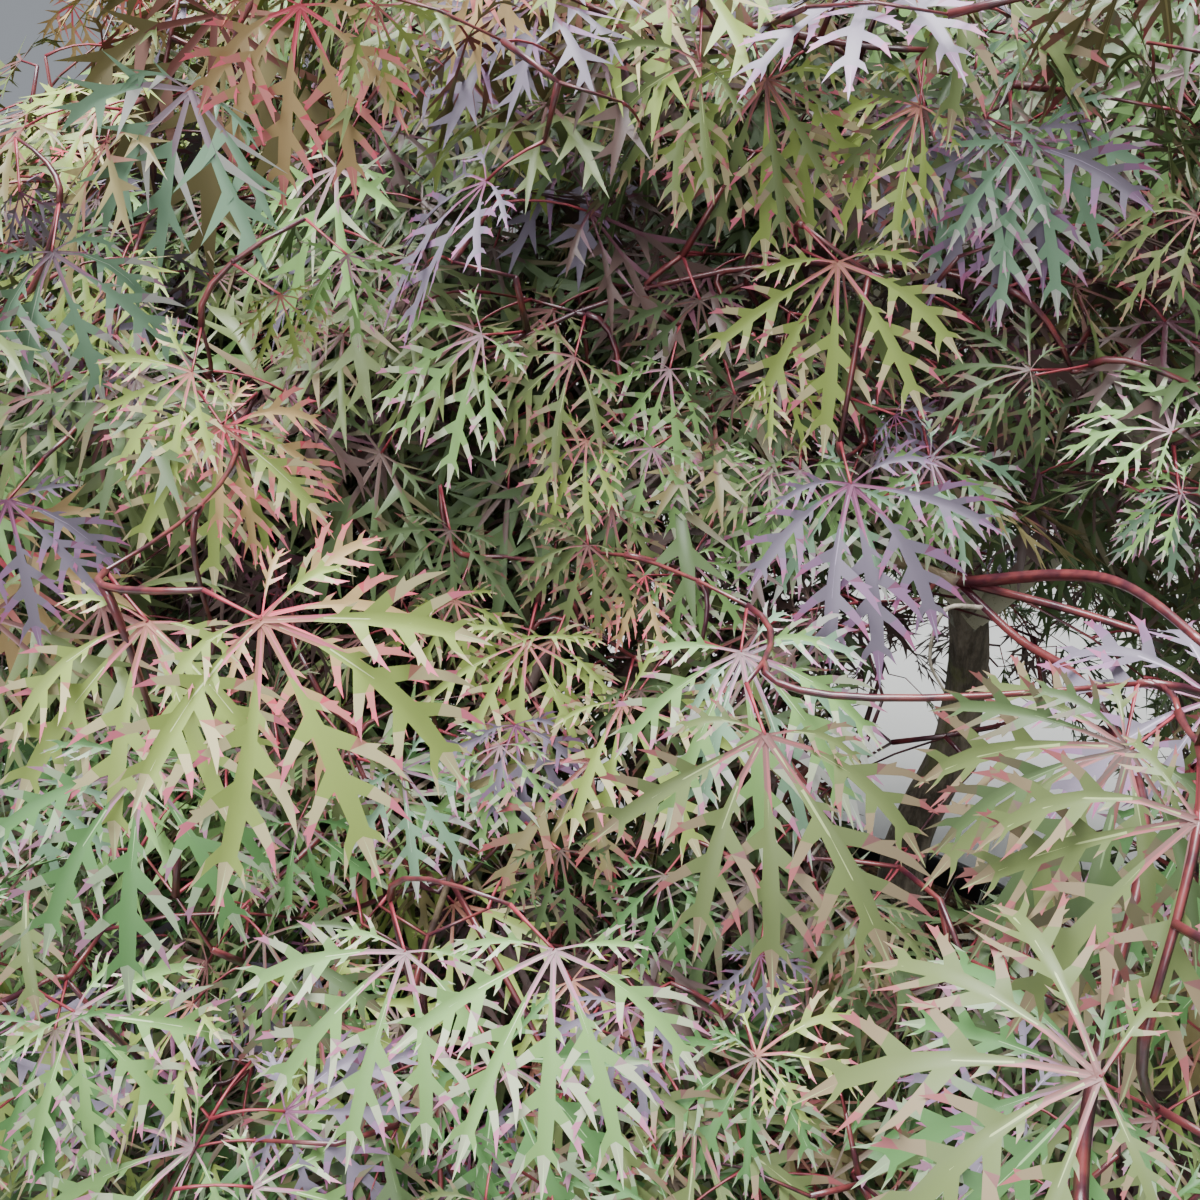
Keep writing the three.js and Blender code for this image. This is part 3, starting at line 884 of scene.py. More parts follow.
for ring_name in RINGS:
    joined = bmesh.new()
    members = [bough for bough in boughs if bough["ring"] == ring_name]
    for bough in members:
        rings = round(bough["line"].length / BOUGH_RING)
        tube = limb_bmesh(bough["line"], bough_radius(bough), BOUGH_SIDES, rings, (0.3, 0.5, 0.8))
        loose = bpy.data.meshes.new("loose")
        tube.to_mesh(loose)
        tube.free()
        joined.from_mesh(loose)
        bpy.data.meshes.remove(loose)
    piece = piece_from(f"{ring_name}_boughs_with_bark", joined, [young_bark])
    hand_in(piece, [bough["node"] for bough in members])

# %% [markdown]
# ## The space of each mass
# The crown is a dome that draws in at its hem and is open inside. Each point of it belongs to the
# mass whose middle is nearest. Stems, side twigs and the feet of leaves keep to their own mass's
# space, while the tips of leaves, and the twigs that fill bare places at the end, may reach over to
# a neighbour. Whatever would leave the crown or touch a limb isn't grown. A few gaps in front of
# the trunk are kept clear as well, as the photograph shows them.

# %% Tests for points
SPACE_MARGIN = 0.002
LEAFY_FROM = 0.44  # fine shoots reach a little further into the crown than the solids do
LIMB_MARGIN = 0.003
TRUNK_PARTS = 22  # straight parts that stand for a limb in the tests
BOUGH_PARTS = 10

limb_starts = []
limb_ends = []
limb_radii = []
for line, thick, thin, steps in [(trunk_line, TRUNK_GIRTH, TRUNK_TIP, TRUNK_PARTS)] + [
    (bough["line"], *RINGS[bough["ring"]]["thick"], BOUGH_PARTS) for bough in boughs
]:
    points = line.at(np.linspace(0, 1, steps + 1))
    limb_starts.append(points[:-1])
    limb_ends.append(points[1:])
    limb_radii.append(np.linspace(thick, thin, steps + 1)[:-1])
limb_starts = np.vstack(limb_starts)
limb_ways = np.vstack(limb_ends) - limb_starts
limb_squares = np.sum(limb_ways**2, 1)
limb_radii = np.concatenate(limb_radii)
mass_middles = np.array([mass["middle"] for mass in masses])


def dome_at(points, scale):
    """1 on the crown's surface, less inside it, for a crown of that scale."""
    across = np.hypot(points[:, 0] - CROWN_X, points[:, 1]) / (CROWN_RADIUS * scale)
    above = (points[:, 2] - CROWN_WIDEST) / ((CROWN_TOP - CROWN_WIDEST) * scale)
    below = (CROWN_WIDEST - points[:, 2]) / (CROWN_WIDEST - CROWN_HEM)
    return np.where(above > 0, np.hypot(across, above), across / (1 - CROWN_TUCK * below**2))


def in_shell(points):
    """Which points lie in the leafy shell of the crown."""
    depth = dome_at(points, 1)
    inside = (depth < 1) & (depth > LEAFY_FROM)
    return inside & (points[:, 2] > CROWN_HEM)


def spaces_of(points, mass_index):
    """Which points lie in a mass's own space."""
    across = np.delete(mass_middles, mass_index, 0) - mass_middles[mass_index]
    spans = np.linalg.norm(across, axis=1)
    along = (points - mass_middles[mass_index]) @ (across / spans[:, None]).T
    return in_shell(points) & np.all(along < spans / 2 - SPACE_MARGIN, 1)


def in_space(points, mass_index):
    """Whether all the points lie in a mass's own space."""
    return bool(np.all(spaces_of(points, mass_index)))


def owner_of(point):
    """The mass whose space a point lies in."""
    return int(np.argmin(np.linalg.norm(mass_middles - point, axis=1)))


def clear_of_limbs(points):
    """Whether all the points keep clear of the trunk and the boughs."""
    out = points[:, None] - limb_starts
    share = np.clip(np.sum(out * limb_ways, 2) / limb_squares, 0, 1)
    away = np.linalg.norm(out - share[..., None] * limb_ways, axis=2)
    return bool(np.all(away > limb_radii + LIMB_MARGIN))


# %% Gaps in front of the trunk: corner pixels, and the distance up to which each is clear
TRUNK_OPENING = [(925, 600), (1005, 590), (1015, 700), (985, 800), (955, 900), (885, 900)]
TRUNK_OPENING += [(900, 800), (935, 720)]
RIGHT_OPENING = [(1005, 640), (1130, 690), (1150, 800), (1010, 830)]
LEFT_OPENING = [(835, 720), (900, 740), (885, 850), (850, 840)]
OPENINGS = [(TRUNK_OPENING, 1.2), (RIGHT_OPENING, 1.3), (LEFT_OPENING, 1.2)]


def through_opening(points):
    """Whether any of the points shows in one of the gaps."""
    shown = pixels_of(points)
    for corners, reach in OPENINGS:
        inside = np.zeros(len(shown), bool)
        for (x0, y0), (x1, y1) in zip(corners, corners[1:] + corners[:1]):
            crosses = (y0 > shown[:, 1]) != (y1 > shown[:, 1])
            edge = x0 + (x1 - x0) * (shown[:, 1] - y0) / ((y1 - y0) or 1e-9)
            inside ^= crosses & (shown[:, 0] < edge)
        if np.any(inside & (shown[:, 2] > 0) & (shown[:, 2] < reach)):
            return True
    return False


# %% [markdown]
# ## The shape of a leaf
# A laceleaf's leaf has seven lobes that spread from one point. Each lobe is a narrow strip with a
# few slim side lobes, small teeth on these, and a slender tip. One half of a lobe's outline is
# filled with triangle_fill against its midrib, then the other half, so that the lobe can be folded
# along its midrib. Near leaves get an outline with every tooth, the others a plainer one.

# %% Side lobes of a lobe: base, end along and across, width, places of the teeth
FINE_LEFT = [
    (0.380, 0.520, 0.195, 0.048, (0.62,)),
    (0.575, 0.745, 0.190, 0.050, (0.50, 0.74)),
    (0.775, 0.910, 0.115, 0.038, ()),
]
FINE_RIGHT = [
    (0.320, 0.375, 0.062, 0.026, ()),
    (0.440, 0.690, 0.210, 0.054, (0.42, 0.68)),
    (0.620, 0.825, 0.168, 0.046, (0.58,)),
    (0.800, 0.880, 0.078, 0.028, ()),
]
PLAIN_LEFT = [
    (0.315, 0.440, 0.215, 0.060, ()),
    (0.570, 0.730, 0.205, 0.062, ()),
    (0.785, 0.910, 0.125, 0.048, ()),
]
PLAIN_RIGHT = [(0.370, 0.705, 0.240, 0.072, ()), (0.635, 0.820, 0.180, 0.062, ())]
FAR_LEFT = [(0.350, 0.620, 0.225, 0.072, ()), (0.660, 0.860, 0.155, 0.058, ())]
FAR_RIGHT = [(0.320, 0.490, 0.215, 0.072, ()), (0.580, 0.790, 0.190, 0.066, ())]
EDGE = 0.016  # half of a lobe's width at the foot of its blade
SWELL = 0.017  # and how much that grows in the middle of the blade
BLADE = (0.30, 0.97)
FOOT = ((0.0, 0.012), (0.20, 0.012))
TIP_TOOTH = ((0.915, 0.011), (0.950, 0.024), (0.948, 0.007))
TOOTH = 0.024
BOW = 0.06  # how far a side lobe bows out
SLIMMING = 0.7  # how much slimmer it gets towards its end


# %% The outline of a lobe


def edge_at(along):
    """Half of a lobe's width between its side lobes, that far along it."""
    share = min(max((along - BLADE[0]) / (BLADE[1] - BLADE[0]), 0), 1)
    return EDGE + SWELL * math.sin(math.pi * share)


def lobe_edge(side_lobes, fine):
    """One edge of a lobe, from its foot to its tip, as shares of its length."""
    edge = list(FOOT) if fine else [FOOT[0]]
    for base, end_along, end_across, width, teeth in side_lobes:
        foot = np.array((base, edge_at(base)))
        end = np.array((end_along, end_across))
        out = unit(np.array((foot[1] - end_across, end_along - base)))

        def at(share, beside):
            bow = BOW * np.linalg.norm(end - foot) * 4 * share * (1 - share)
            slim = beside * (1 - SLIMMING * share**2)
            return tuple(foot + (end - foot) * share + out * (bow + slim))

        edge.append((base - width * 0.8, edge_at(base - width * 0.8)))
        if fine:
            edge.append(at(0.25, width * 0.5))
        for share in teeth:
            edge.append(at(share - 0.05, width * 0.45))
            edge.append(at(share + 0.08, width * 0.45 + TOOTH))
            edge.append(at(share + 0.07, width * 0.40))
        edge.append(tuple(end))
        if fine:
            edge.append(at(0.6, -width * 0.40))
            edge.append(at(0.25, -width * 0.5))
        edge.append((base + width * 0.8, edge_at(base + width * 0.8)))
    return edge + list(TIP_TOOTH) if fine else edge


# %% Lobes with zones for their tints
VEIN = ((0.06, 0.007), (0.24, 0.009), (0.42, 0.0085), (0.60, 0.0075), (0.78, 0.006), (0.94, 0.003))
VEIN_LIFT = 0.003
ZONES = ("stalk", "blade", "flush_and_sheen", "tip", "vein")
STALK_END = 0.25
# the flushed edge zone is also paler than the blade, as a painted sheen
FLUSH_AND_SHEEN_FROM = (0.090, 0.84)  # across, along
TIP_FROM = (0.145, 0.92)


def zone_of(along, across):
    """Which colour a spot of the lobe has: tints start at its edges and tips."""
    if along < STALK_END:
        return 0
    if across > TIP_FROM[0] or along > TIP_FROM[1]:
        return 3
    if across > FLUSH_AND_SHEEN_FROM[0] or along > FLUSH_AND_SHEEN_FROM[1]:
        return 2
    return 1


def lobe_template(left, right, midrib, vein=()):
    """A lobe in its own plane: points, triangles, and the zone of each triangle."""
    bm = bmesh.new()
    spine = [bm.verts.new((along, 0, 0)) for along in midrib]
    for side_lobes, side in ((left, 1), (right, -1)):
        outline = lobe_edge(side_lobes, len(vein) > 0)
        edge = [bm.verts.new((along, side * across, 0)) for along, across in outline]
        loop = spine + edge[::-1]
        pairs = zip(loop, loop[1:] + loop[:1])
        edges = [bm.edges.get(pair) or bm.edges.new(pair) for pair in pairs]
        bmesh.ops.triangle_fill(bm, use_beauty=True, edges=edges)
    bm.normal_update()
    for face in bm.faces:
        if face.normal.z < 0:
            face.normal_flip()
    zones = []
    for face in bm.faces:
        centre = face.calc_center_median()
        zones.append(zone_of(centre.x, abs(centre.y)))
    strip = [[bm.verts.new((x, y, VEIN_LIFT)) for y in (-half, half)] for x, half in vein]
    for (a, b), (c, d) in zip(strip, strip[1:]):
        bm.faces.new((a, c, d))
        bm.faces.new((a, d, b))
        zones += [ZONES.index("vein")] * 2
    points, faces = template_of(bm)
    return {"points": points, "faces": faces, "zones": np.array(zones)}


FINE_LOBE = lobe_template(FINE_LEFT, FINE_RIGHT, (0, 0.22, 0.44, 0.62, 0.8, 1), VEIN)
PLAIN_LOBE = lobe_template(PLAIN_LEFT, PLAIN_RIGHT, (0, 0.36, 0.68, 1))
FAR_LOBE = lobe_template(FAR_LEFT, FAR_RIGHT, (0, 0.5, 1))
for title, lobe in (("near", FINE_LOBE), ("plain", PLAIN_LOBE), ("far", FAR_LOBE)):
    print(f"a {title} lobe has {len(lobe['faces'])} triangles")

# %% [markdown]
# ## How a leaf hangs
# A leaf's lobes leave its stalk like the fingers of a hand and then bend down under their own
# weight. Each lobe's midrib is worked out step by step: its way starts in the leaf's plane and
# turns a little further down at every step. This is done for many leaves at once with arrays.

# %% Lobes of a hanging leaf
LOBE_TURNS = np.radians([0, 33, -33, 68, -68, 110, -110])
LOBE_SIZES = np.array([1, 0.94, 0.94, 0.78, 0.78, 0.45, 0.45])
LOBE_STEPS = 8
CURL = 0.55  # how much a lobe may curve to one side
TURN_PLAY = 0.16  # radians that a lobe may turn more or less
CUP = (0.10, 0.12)  # how far lobes rise out of the leaf's plane: all of them, and each by its own
LENGTH_PLAY = 0.10
SAG_PLAY = 0.35
FOLD = (0.16, 0.25)  # how steeply lobes are folded along their midribs, likewise
WIDTH_PLAY = 0.2


def midribs(root, axis, face, size, droop, jitter):
    """Points along every lobe's midrib, the ways across it, and its length, for rows of leaves."""
    side = unit(np.cross(axis, face))
    turns = LOBE_TURNS + jitter[:, :, 0] * TURN_PLAY
    ways = np.cos(turns)[..., None] * axis[:, None] + np.sin(turns)[..., None] * side[:, None]
    ways = unit(ways + face[:, None] * (CUP[0] + CUP[1] * jitter[:, :, 1:2]))
    across = unit(np.cross(face[:, None], ways))
    lengths = size[:, None] * LOBE_SIZES * (1 + LENGTH_PLAY * jitter[:, :, 2])
    sag = droop[:, None, None] * (1 + SAG_PLAY * jitter[:, :, 3:4])
    curl = CURL * across * jitter[:, :, 1:2]
    points = [np.broadcast_to(root[:, None], ways.shape)]
    sides = []
    for step in range(LOBE_STEPS + 1):
        share = step / LOBE_STEPS
        way = unit(ways + curl * share + DOWN * sag * share**1.3)
        sides.append(unit(across - way * np.sum(across * way, 2, keepdims=True)))
        if step < LOBE_STEPS:
            points.append(points[-1] + way * (lengths / LOBE_STEPS)[..., None])
    return np.stack(points, 2), np.stack(sides, 2), lengths


def square_to(axis, way):
    """The way, turned as little as it takes to stand square to the axis."""
    return unit(way - axis * (way @ axis))


def dealt_jitter(roll):
    """Five numbers from -1 to 1 for each lobe of a leaf."""
    return np.array([[2 * roll() - 1 for _ in range(5)] for _ in LOBE_TURNS])


def lobes_of(*leaf):
    """The midribs of a single leaf."""
    centres, _, _ = midribs(*(np.array([value]) for value in leaf))
    return centres[0]


def leaf_points(template, lobes, root, axis, face, size, droop, jitter):
    """The places of a template's points on the first lobes of every leaf."""
    centres, sides, lengths = midribs(root, axis, face, size, droop, jitter)
    centres, sides, lengths, jitter = (a[:, :lobes] for a in (centres, sides, lengths, jitter))
    along, across = template["points"][:, 0], template["points"][:, 1]
    step = np.clip(along * LOBE_STEPS, 0, LOBE_STEPS - 1e-6)
    low = step.astype(int)
    part = (step - low)[:, None]
    centre = centres[:, :, low] * (1 - part) + centres[:, :, low + 1] * part
    side = sides[:, :, low] * (1 - part) + sides[:, :, low + 1] * part
    way = unit(centres[:, :, low + 1] - centres[:, :, low])
    lift = np.cross(side, way)
    scaled = lengths[..., None, None]
    fold = FOLD[0] + FOLD[1] * np.abs(jitter[:, :, 4])[..., None, None]
    across = across * (1 + WIDTH_PLAY * jitter[:, :, 4])[..., None]
    out = centre - side * across[..., None] * scaled
    over = template["points"][:, 2:] - np.abs(across)[..., None] * fold
    return out + lift * over * scaled


# %% [markdown]
# ## Leaves close to the lens
# Nearly ninety leaves stand out near the camera. Each one is placed by two pixels of the photograph,
# where its lobes meet and where its longest lobe ends. A lobe of this maple is 6 to 9 cm long, so
# its length in pixels tells how far away the leaf is, and the leaf moves back until it lies inside
# the crown. These leaves are set first, and whatever grows later leaves the view of them free.

# %% Near leaves, by pixels: where the lobes meet, the tip of the longest, and the tint
NEAR_LEAVES = [
    (148, 622, 114, 868, "fresh"),
    (262, 620, 382, 888, "fresh"),
    (262, 616, 430, 735, "coral"),
    (145, 767, 129, 1012, "green"),
    (405, 952, 345, 1175, "mint"),
    (554, 950, 541, 1205, "mint"),
    (402, 770, 470, 882, "sky_sheen"),
    (515, 725, 528, 842, "lilac"),
    (527, 642, 512, 800, "fresh"),
    (22, 777, 65, 895, "sky_sheen"),
    (55, 1030, 50, 1205, "green"),
    (75, 1012, 195, 1145, "mint"),
    (8, 500, 42, 655, "lilac"),
    (741, 652, 765, 880, "mint"),
    (745, 655, 865, 838, "sky_sheen"),
    (765, 735, 772, 1000, "olive"),
    (622, 702, 706, 872, "fresh"),
    (1125, 747, 920, 892, "olive"),
    (1130, 750, 967, 965, "shade"),
    (1197, 820, 1005, 1040, "olive"),
    (1200, 815, 1195, 1020, "green"),
    (1100, 1077, 790, 1105, "olive"),
    (1098, 1080, 850, 1190, "green"),
    (755, 1057, 690, 1190, "green"),
    (757, 1055, 868, 1022, "fresh"),
    (625, 1007, 600, 1130, "lilac"),
    (760, 955, 768, 1040, "lilac"),
    (1215, 700, 1000, 722, "lilac"),
    (851, 484, 880, 690, "lilac"),
    (848, 486, 770, 610, "sky_sheen"),
    (192, 372, 110, 490, "fresh"),
    (220, 425, 215, 600, "fresh"),
    (224, 428, 335, 540, "coral"),
    (52, 252, 108, 415, "sky_sheen"),
    (20, 192, 60, 262, "lilac"),
    (347, 255, 360, 352, "mint"),
    (482, 335, 395, 455, "mint"),
    (575, 357, 505, 480, "olive"),
    (587, 440, 545, 545, "fresh"),
    (670, 369, 640, 480, "mint"),
    (300, 5, 283, 215, "coral"),
    (215, 15, 212, 290, "bronze"),
    (190, 90, 160, 280, "sky_sheen"),
    (375, 5, 415, 125, "fresh"),
    (72, 5, 76, 70, "coral"),
    (140, 0, 143, 60, "coral"),
    (765, 78, 715, 250, "olive"),
    (768, 80, 765, 275, "fresh"),
    (700, 62, 615, 200, "olive"),
    (920, 105, 830, 255, "fresh"),
    (925, 110, 905, 270, "olive"),
    (985, 120, 925, 290, "sky_sheen"),
    (1012, 140, 990, 330, "lilac"),
    (1030, 140, 1058, 325, "sky_sheen"),
    (1197, 215, 1090, 285, "olive"),
    (1030, 370, 915, 385, "shade"),
    (1035, 375, 975, 465, "shade"),
    (895, 415, 925, 480, "lilac"),
    (930, 458, 1015, 555, "sky_sheen"),
    (932, 462, 926, 578, "mint"),
    (770, 472, 715, 585, "mint"),
    (772, 470, 668, 487, "olive"),
    (1172, 432, 1062, 430, "mint"),
    (1182, 492, 1110, 540, "mint"),
    (1180, 495, 1168, 590, "sky_sheen"),
    (645, 575, 592, 650, "coral"),
    (775, 370, 835, 448, "fresh"),
    (280, 295, 300, 372, "fresh"),
    (588, 545, 560, 650, "olive"),
    (690, 560, 705, 660, "mint"),
    (455, 600, 475, 705, "fresh"),
    (640, 690, 655, 800, "shade"),
    (560, 850, 575, 960, "shade"),
    (665, 875, 640, 985, "green"),
    (450, 530, 425, 640, "shade"),
    (345, 740, 335, 850, "olive"),
    (300, 820, 330, 935, "green"),
    (838, 262, 822, 462, "fresh"),
    (842, 268, 895, 405, "olive"),
    (800, 470, 792, 600, "mint"),
    (700, 300, 690, 420, "shade"),
    (870, 905, 850, 1010, "olive"),
    (652, 448, 628, 560, "mint"),
    (612, 510, 590, 628, "olive"),
    (555, 640, 548, 760, "fresh"),
    (500, 745, 480, 860, "mint"),
    (735, 395, 722, 500, "shade"),
]

# %% Aiming the near leaves
LOBE_LENGTH = 0.083  # of a near leaf
NEAR_RANGE = (0.28, 0.50)
NEAR_DROOP = (0.7, 0.9)
NEAR_FACE = (0.75, 0.55)  # how much a near leaf faces the lens, and how much it faces up
STEADY = 0.2  # the lobe that is aimed wanders this much less than the others
TIP_BEHIND = 0.015
MOVES = 40  # steps back that a leaf may take to get inside the crown
MOVE = 0.012
SURFACE = 0.995
AIMING_ROUNDS = 4

near_roll = dice(31)
near_leaves = []
for across, down, tip_across, tip_down, tint in NEAR_LEAVES:
    span = math.hypot(tip_across - across, tip_down - down)
    distance = min(max(LOBE_LENGTH * LENS / span, NEAR_RANGE[0]), NEAR_RANGE[1])
    jitter = dealt_jitter(near_roll)
    jitter[0] *= STEADY
    droop = dealt(NEAR_DROOP, near_roll)
    for _ in range(MOVES):
        root = seen_at(across, down, distance)
        goal = seen_at(tip_across, tip_down, distance + TIP_BEHIND)
        axis = unit(goal - root)
        size = np.linalg.norm(goal - root)
        for _ in range(AIMING_ROUNDS):
            face = square_to(axis, unit(EYE - root) * NEAR_FACE[0] + UP * NEAR_FACE[1])
            lobes = lobes_of(root, axis, face, size, droop, jitter)
            tip = lobes[0, -1]
            axis = unit(axis + (goal - tip) / size)
            size *= np.linalg.norm(goal - root) / np.linalg.norm(tip - root)
        tests = np.vstack([root[None], lobes[:, 4], lobes[:, -1]])
        if np.all(dome_at(tests, 1) < SURFACE):
            break
        distance += MOVE
    near_leaves.append(
        {
            "row": (root, axis, face, size, droop, jitter),
            "tint": tint,
            "from": np.array((across, down, distance)),
            "to": np.array((tip_across, tip_down)),
            "span": span,
        }
    )
print(len(near_leaves), "near leaves, with lobes of", sorted(round(n["row"][3], 3) for n in near_leaves)[::9])

# %% Keeping the view of them free
view_from = np.array([n["from"][:2] for n in near_leaves])
view_way = np.array([n["to"] for n in near_leaves]) - view_from
view_span = np.array([n["span"] for n in near_leaves])
view_distance = np.array([n["from"][2] for n in near_leaves])
VIEW_FREE = 0.24  # share of its length that a near leaf has free on each side


def hides_near_leaf(points):
    """Whether any of the points comes between the eye and a near leaf."""
    shown = pixels_of(points)
    away = np.linalg.norm(points - EYE, axis=1)
    out = shown[:, None, :2] - view_from
    share = np.clip(np.sum(out * view_way, 2) / view_span**2, -0.1, 1)
    beside = np.linalg.norm(out - share[..., None] * view_way, axis=2)
    return bool(np.any((beside < VIEW_FREE * view_span) & (away[:, None] < view_distance)))


# %% [markdown]
# ## Growing the foliage
# The rule is that of the solids, carried to finer twigs. A stem goes on from its bough and sags as
# it goes. Each of its joints bears two side twigs, each joint of these bears two leaves or two
# short spurs with leaves of their own, and every shoot ends in a leaf. A leaf that doesn't fit as it
# grows hangs lower, and is left out if it still doesn't fit or if the leaves round it are too close.
# At the end, further twigs reach for the places of the space that are still bare, because the
# crown of the real tree is full on every side.

# %% The rule
STEM_STEP = 0.040
TWIG_STEP = 0.033
SPUR_STEP = 0.026
TWIG_SAG = 5
SPUR_SAG = 6
TWIG_RADII = (0.0015, 0.0009)
SPUR_RADII = (0.0009, 0.0006)
WANDER = 0.16
LEAN_OVER = (-0.05, 0.35)  # of the side shoots at every other joint
LEAF_DROOPS = (1.1, 1.9, 2.9)
LEAF_CHANCE = (0.42, 0.50)  # that a twig's joint bears a leaf, at its foot and how much more at its tip
LEAF_FACE = (0.9, 0.7)  # how much a leaf faces up, and how much it faces out of the crown
LEAF_BEND = (0.25, 0.35)  # how far a leaf's way is bent down: always, and by its droop
STEEP = 0.15  # a way that is this near to upright has no level side of its own
STEM_RADII = (0.40, 0.0015)  # a stem's foot, as a share of its bough's end, and its tip in metres
STEM_ROOT = 0.004  # how deep a stem starts in its bough
# Spans: the least value, and how much more it may be
BEND_PLAY = (0.6, 0.8)
STALK = (0.016, 0.018)
LEAF = (0.056, 0.028)
SPUR = (0.030, 0.045)
LEAF_ANGLE = (52, 24)
SPUR_ANGLE = (46, 20)
TWIG_ANGLE = (50, 16)
ROOM_IN_VIEW = 0.025  # least distance between two leaves, by where they are
ROOM_OUTSIDE = 0.043
ROOM_INSIDE = 0.060
INSIDE = 0.80
VIEW_DEPTH = 1.0
STALK_RADII = [0.0009, 0.0007, 0.0006, 0.0006, 0.0007]
PLAIN_STALK_RADII = [0.0008, 0.0007]
STALKS_BEND = 0.60  # metres ahead of the eye within which a leaf's stalk bends
CLEAR_OF_EYE = 0.50  # only the leaves placed by pixels are nearer to the lens
WIDE_MARGIN = 400  # pixels round the frame, for that rule
OPENING_DEPTH = 1.3  # metres ahead of the eye within which no leaf covers a gap or a near leaf

MAX_JOINTS = 60000
MAX_LEAVES = 12000
NOWHERE = 1e3  # metres along each axis, for what hasn't grown yet
twigs = {"stem": [], "twig": [], "spur": [], "stalk": [], "dead_twig": []}
leaves = []
joint_spots = np.full((MAX_JOINTS, 3), NOWHERE)
joint_ways = []
leaf_roots = np.full((MAX_LEAVES, 3), NOWHERE)
sprays = itertools.count(1)


def bend(way, sag):
    """A way, turned down a little."""
    return unit(way - UP * sag)


def lean(way, out, degrees):
    """A way, turned out to its side."""
    turn = math.radians(degrees)
    return unit(way * math.cos(turn) + out * math.sin(turn))


def side_of(way):
    """The level way beside a way."""
    side = np.cross(way, UP)
    return unit(side) if np.linalg.norm(side) > STEEP else np.array((1.0, 0, 0))


def outward(point):
    """The level way out of the crown at a point."""
    return unit(np.array((point[0] - CROWN_X, point[1], 0.0)))


# %% What has grown so far, and how near it is


def shows(points, depth=VIEW_DEPTH, margin=60):
    """Whether the first of the points is in the photograph's frame, and not far off."""
    across, down, ahead = pixels_of(points[:1])[0]
    in_frame = -margin < across < PHOTO + margin and -margin < down < PHOTO + margin
    return in_frame and 0 < ahead < depth


def room_at(root):
    """The least distance to the next leaf."""
    if shows(root[None]):
        return ROOM_IN_VIEW
    return ROOM_INSIDE if dome_at(root[None], 1)[0] < INSIDE else ROOM_OUTSIDE


def add_joints(shoot):
    """Keeps the joints of a shoot, which later twigs may start from."""
    for node, way in shoot:
        joint_spots[len(joint_ways)] = node
        joint_ways.append(way)


def add_path(kind, path, ends, index):
    """Keeps a twig that runs along a path, with its radius at both ends."""
    twigs[kind].append((list(path), list(np.linspace(*ends, len(path))), index))
    if kind != "dead_twig":
        add_joints([(point, unit(point - before)) for before, point in zip(path, path[1:])])


def nearest_joints(point, count):
    """The nearest joints: how far away, where, and which way their shoots grow."""
    spans = np.linalg.norm(joint_spots[: len(joint_ways)] - point, axis=1)
    return [(spans[i], joint_spots[i], joint_ways[i]) for i in np.argsort(spans)[:count]]


def nearest_leaf(point):
    """The distance from a point to the nearest leaf."""
    return float(np.min(np.linalg.norm(leaf_roots[: len(leaves) + 1] - point, axis=1)))


# %% A leaf and its stalk


def set_leaf(node, way, length, row, index, spray):
    """Keeps a leaf, and the stalk that it hangs on."""
    root = row[0]
    if shows(root[None], STALKS_BEND):
        middle = node + way * length * 0.55
        path = arc(node, middle, root, np.linspace(0, 1, len(STALK_RADII))[:, None])
        twigs["stalk"].append((list(path), STALK_RADII, index))
    else:
        twigs["stalk"].append(([node, root], PLAIN_STALK_RADII, index))
    leaf_roots[len(leaves)] = root
    leaves.append((*row, index, spray))


def add_leaf(index, node, way, roll, size, spray):
    """A stalk and a leaf from a joint. Tells whether it was grown."""
    length = dealt(STALK, roll) * size / LEAF[0] * 0.9
    jitter = dealt_jitter(roll)
    turn = roll() - 0.5
    for droop in LEAF_DROOPS:
        axis = bend(way, LEAF_BEND[0] + LEAF_BEND[1] * droop * dealt(BEND_PLAY, roll))
        root = node + unit(way + axis) * length
        if nearest_leaf(root) < room_at(root):
            continue
        face = UP * LEAF_FACE[0] + outward(root) * LEAF_FACE[1] + side_of(axis) * turn
        face = square_to(axis, face)
        lobes = lobes_of(root, axis, face, size, droop, jitter)
        halfway = np.vstack([root[None], lobes[:, 4]])
        tests = np.vstack([halfway, lobes[:, -1]])
        if not in_space(root[None], index) or not np.all(in_shell(tests)) or not clear_of_limbs(tests):
            continue
        if np.linalg.norm(root - EYE) < CLEAR_OF_EYE and shows(root[None], VIEW_DEPTH, WIDE_MARGIN):
            return False
        if shows(tests, OPENING_DEPTH) and (through_opening(tests) or hides_near_leaf(halfway)):
            return False
        set_leaf(node, way, length, (root, axis, face, size, droop, jitter), index, spray)
        return True
    return False


# %% A shoot and what its joints bear


def grow(index, kind, start, heading, length, step, sag, radii, roll, bear):
    """One shoot of joints. bear grows what each joint carries. Tells how much was borne."""
    count = max(1, round(length / step))
    points = [start]
    way = heading
    shoot = []
    for _ in range(count):
        nearby = points[-1] + way * step
        if not in_space(nearby[None], index) or not clear_of_limbs(nearby[None]):
            break
        if (kind != "stem" or len(points) > 2) and shows(nearby[None]) and hides_near_leaf(nearby[None]):
            break
        points.append(nearby)
        shoot.append((nearby, way))
        wander = np.array([roll() - 0.5, roll() - 0.5, roll() - 0.5]) * WANDER
        way = bend(unit(way + wander), sag * step)
    if len(points) < 2:
        return 0
    return bear_along(index, kind, points, shoot, radii, roll, bear)


def bear_along(index, kind, points, shoot, radii, roll, bear):
    """Grows what the joints of a shoot carry, and a leaf at its end."""
    borne = 0
    last = 0
    for i, (node, way) in enumerate(shoot):
        side = side_of(way)
        over = np.cross(side, way)
        spray = next(sprays)
        for sign in (-1, 1):
            out = unit(side * sign + over * LEAN_OVER[i % 2])
            grown = bear(node, way, out, i / len(shoot), spray)
            borne += grown
            last = i + 1 if grown else last
    size = dealt(LEAF, roll)
    if add_leaf(index, points[-1], unit(points[-1] - points[-2]), roll, size, next(sprays)):
        borne += 1
        last = len(shoot)
    if kind == "stem":
        last = len(shoot)
    if last:
        thin = list(np.linspace(*radii, len(points)))
        twigs[kind].append((points[: last + 1], thin[: last + 1], index))
        add_joints(shoot[:last])
    return borne


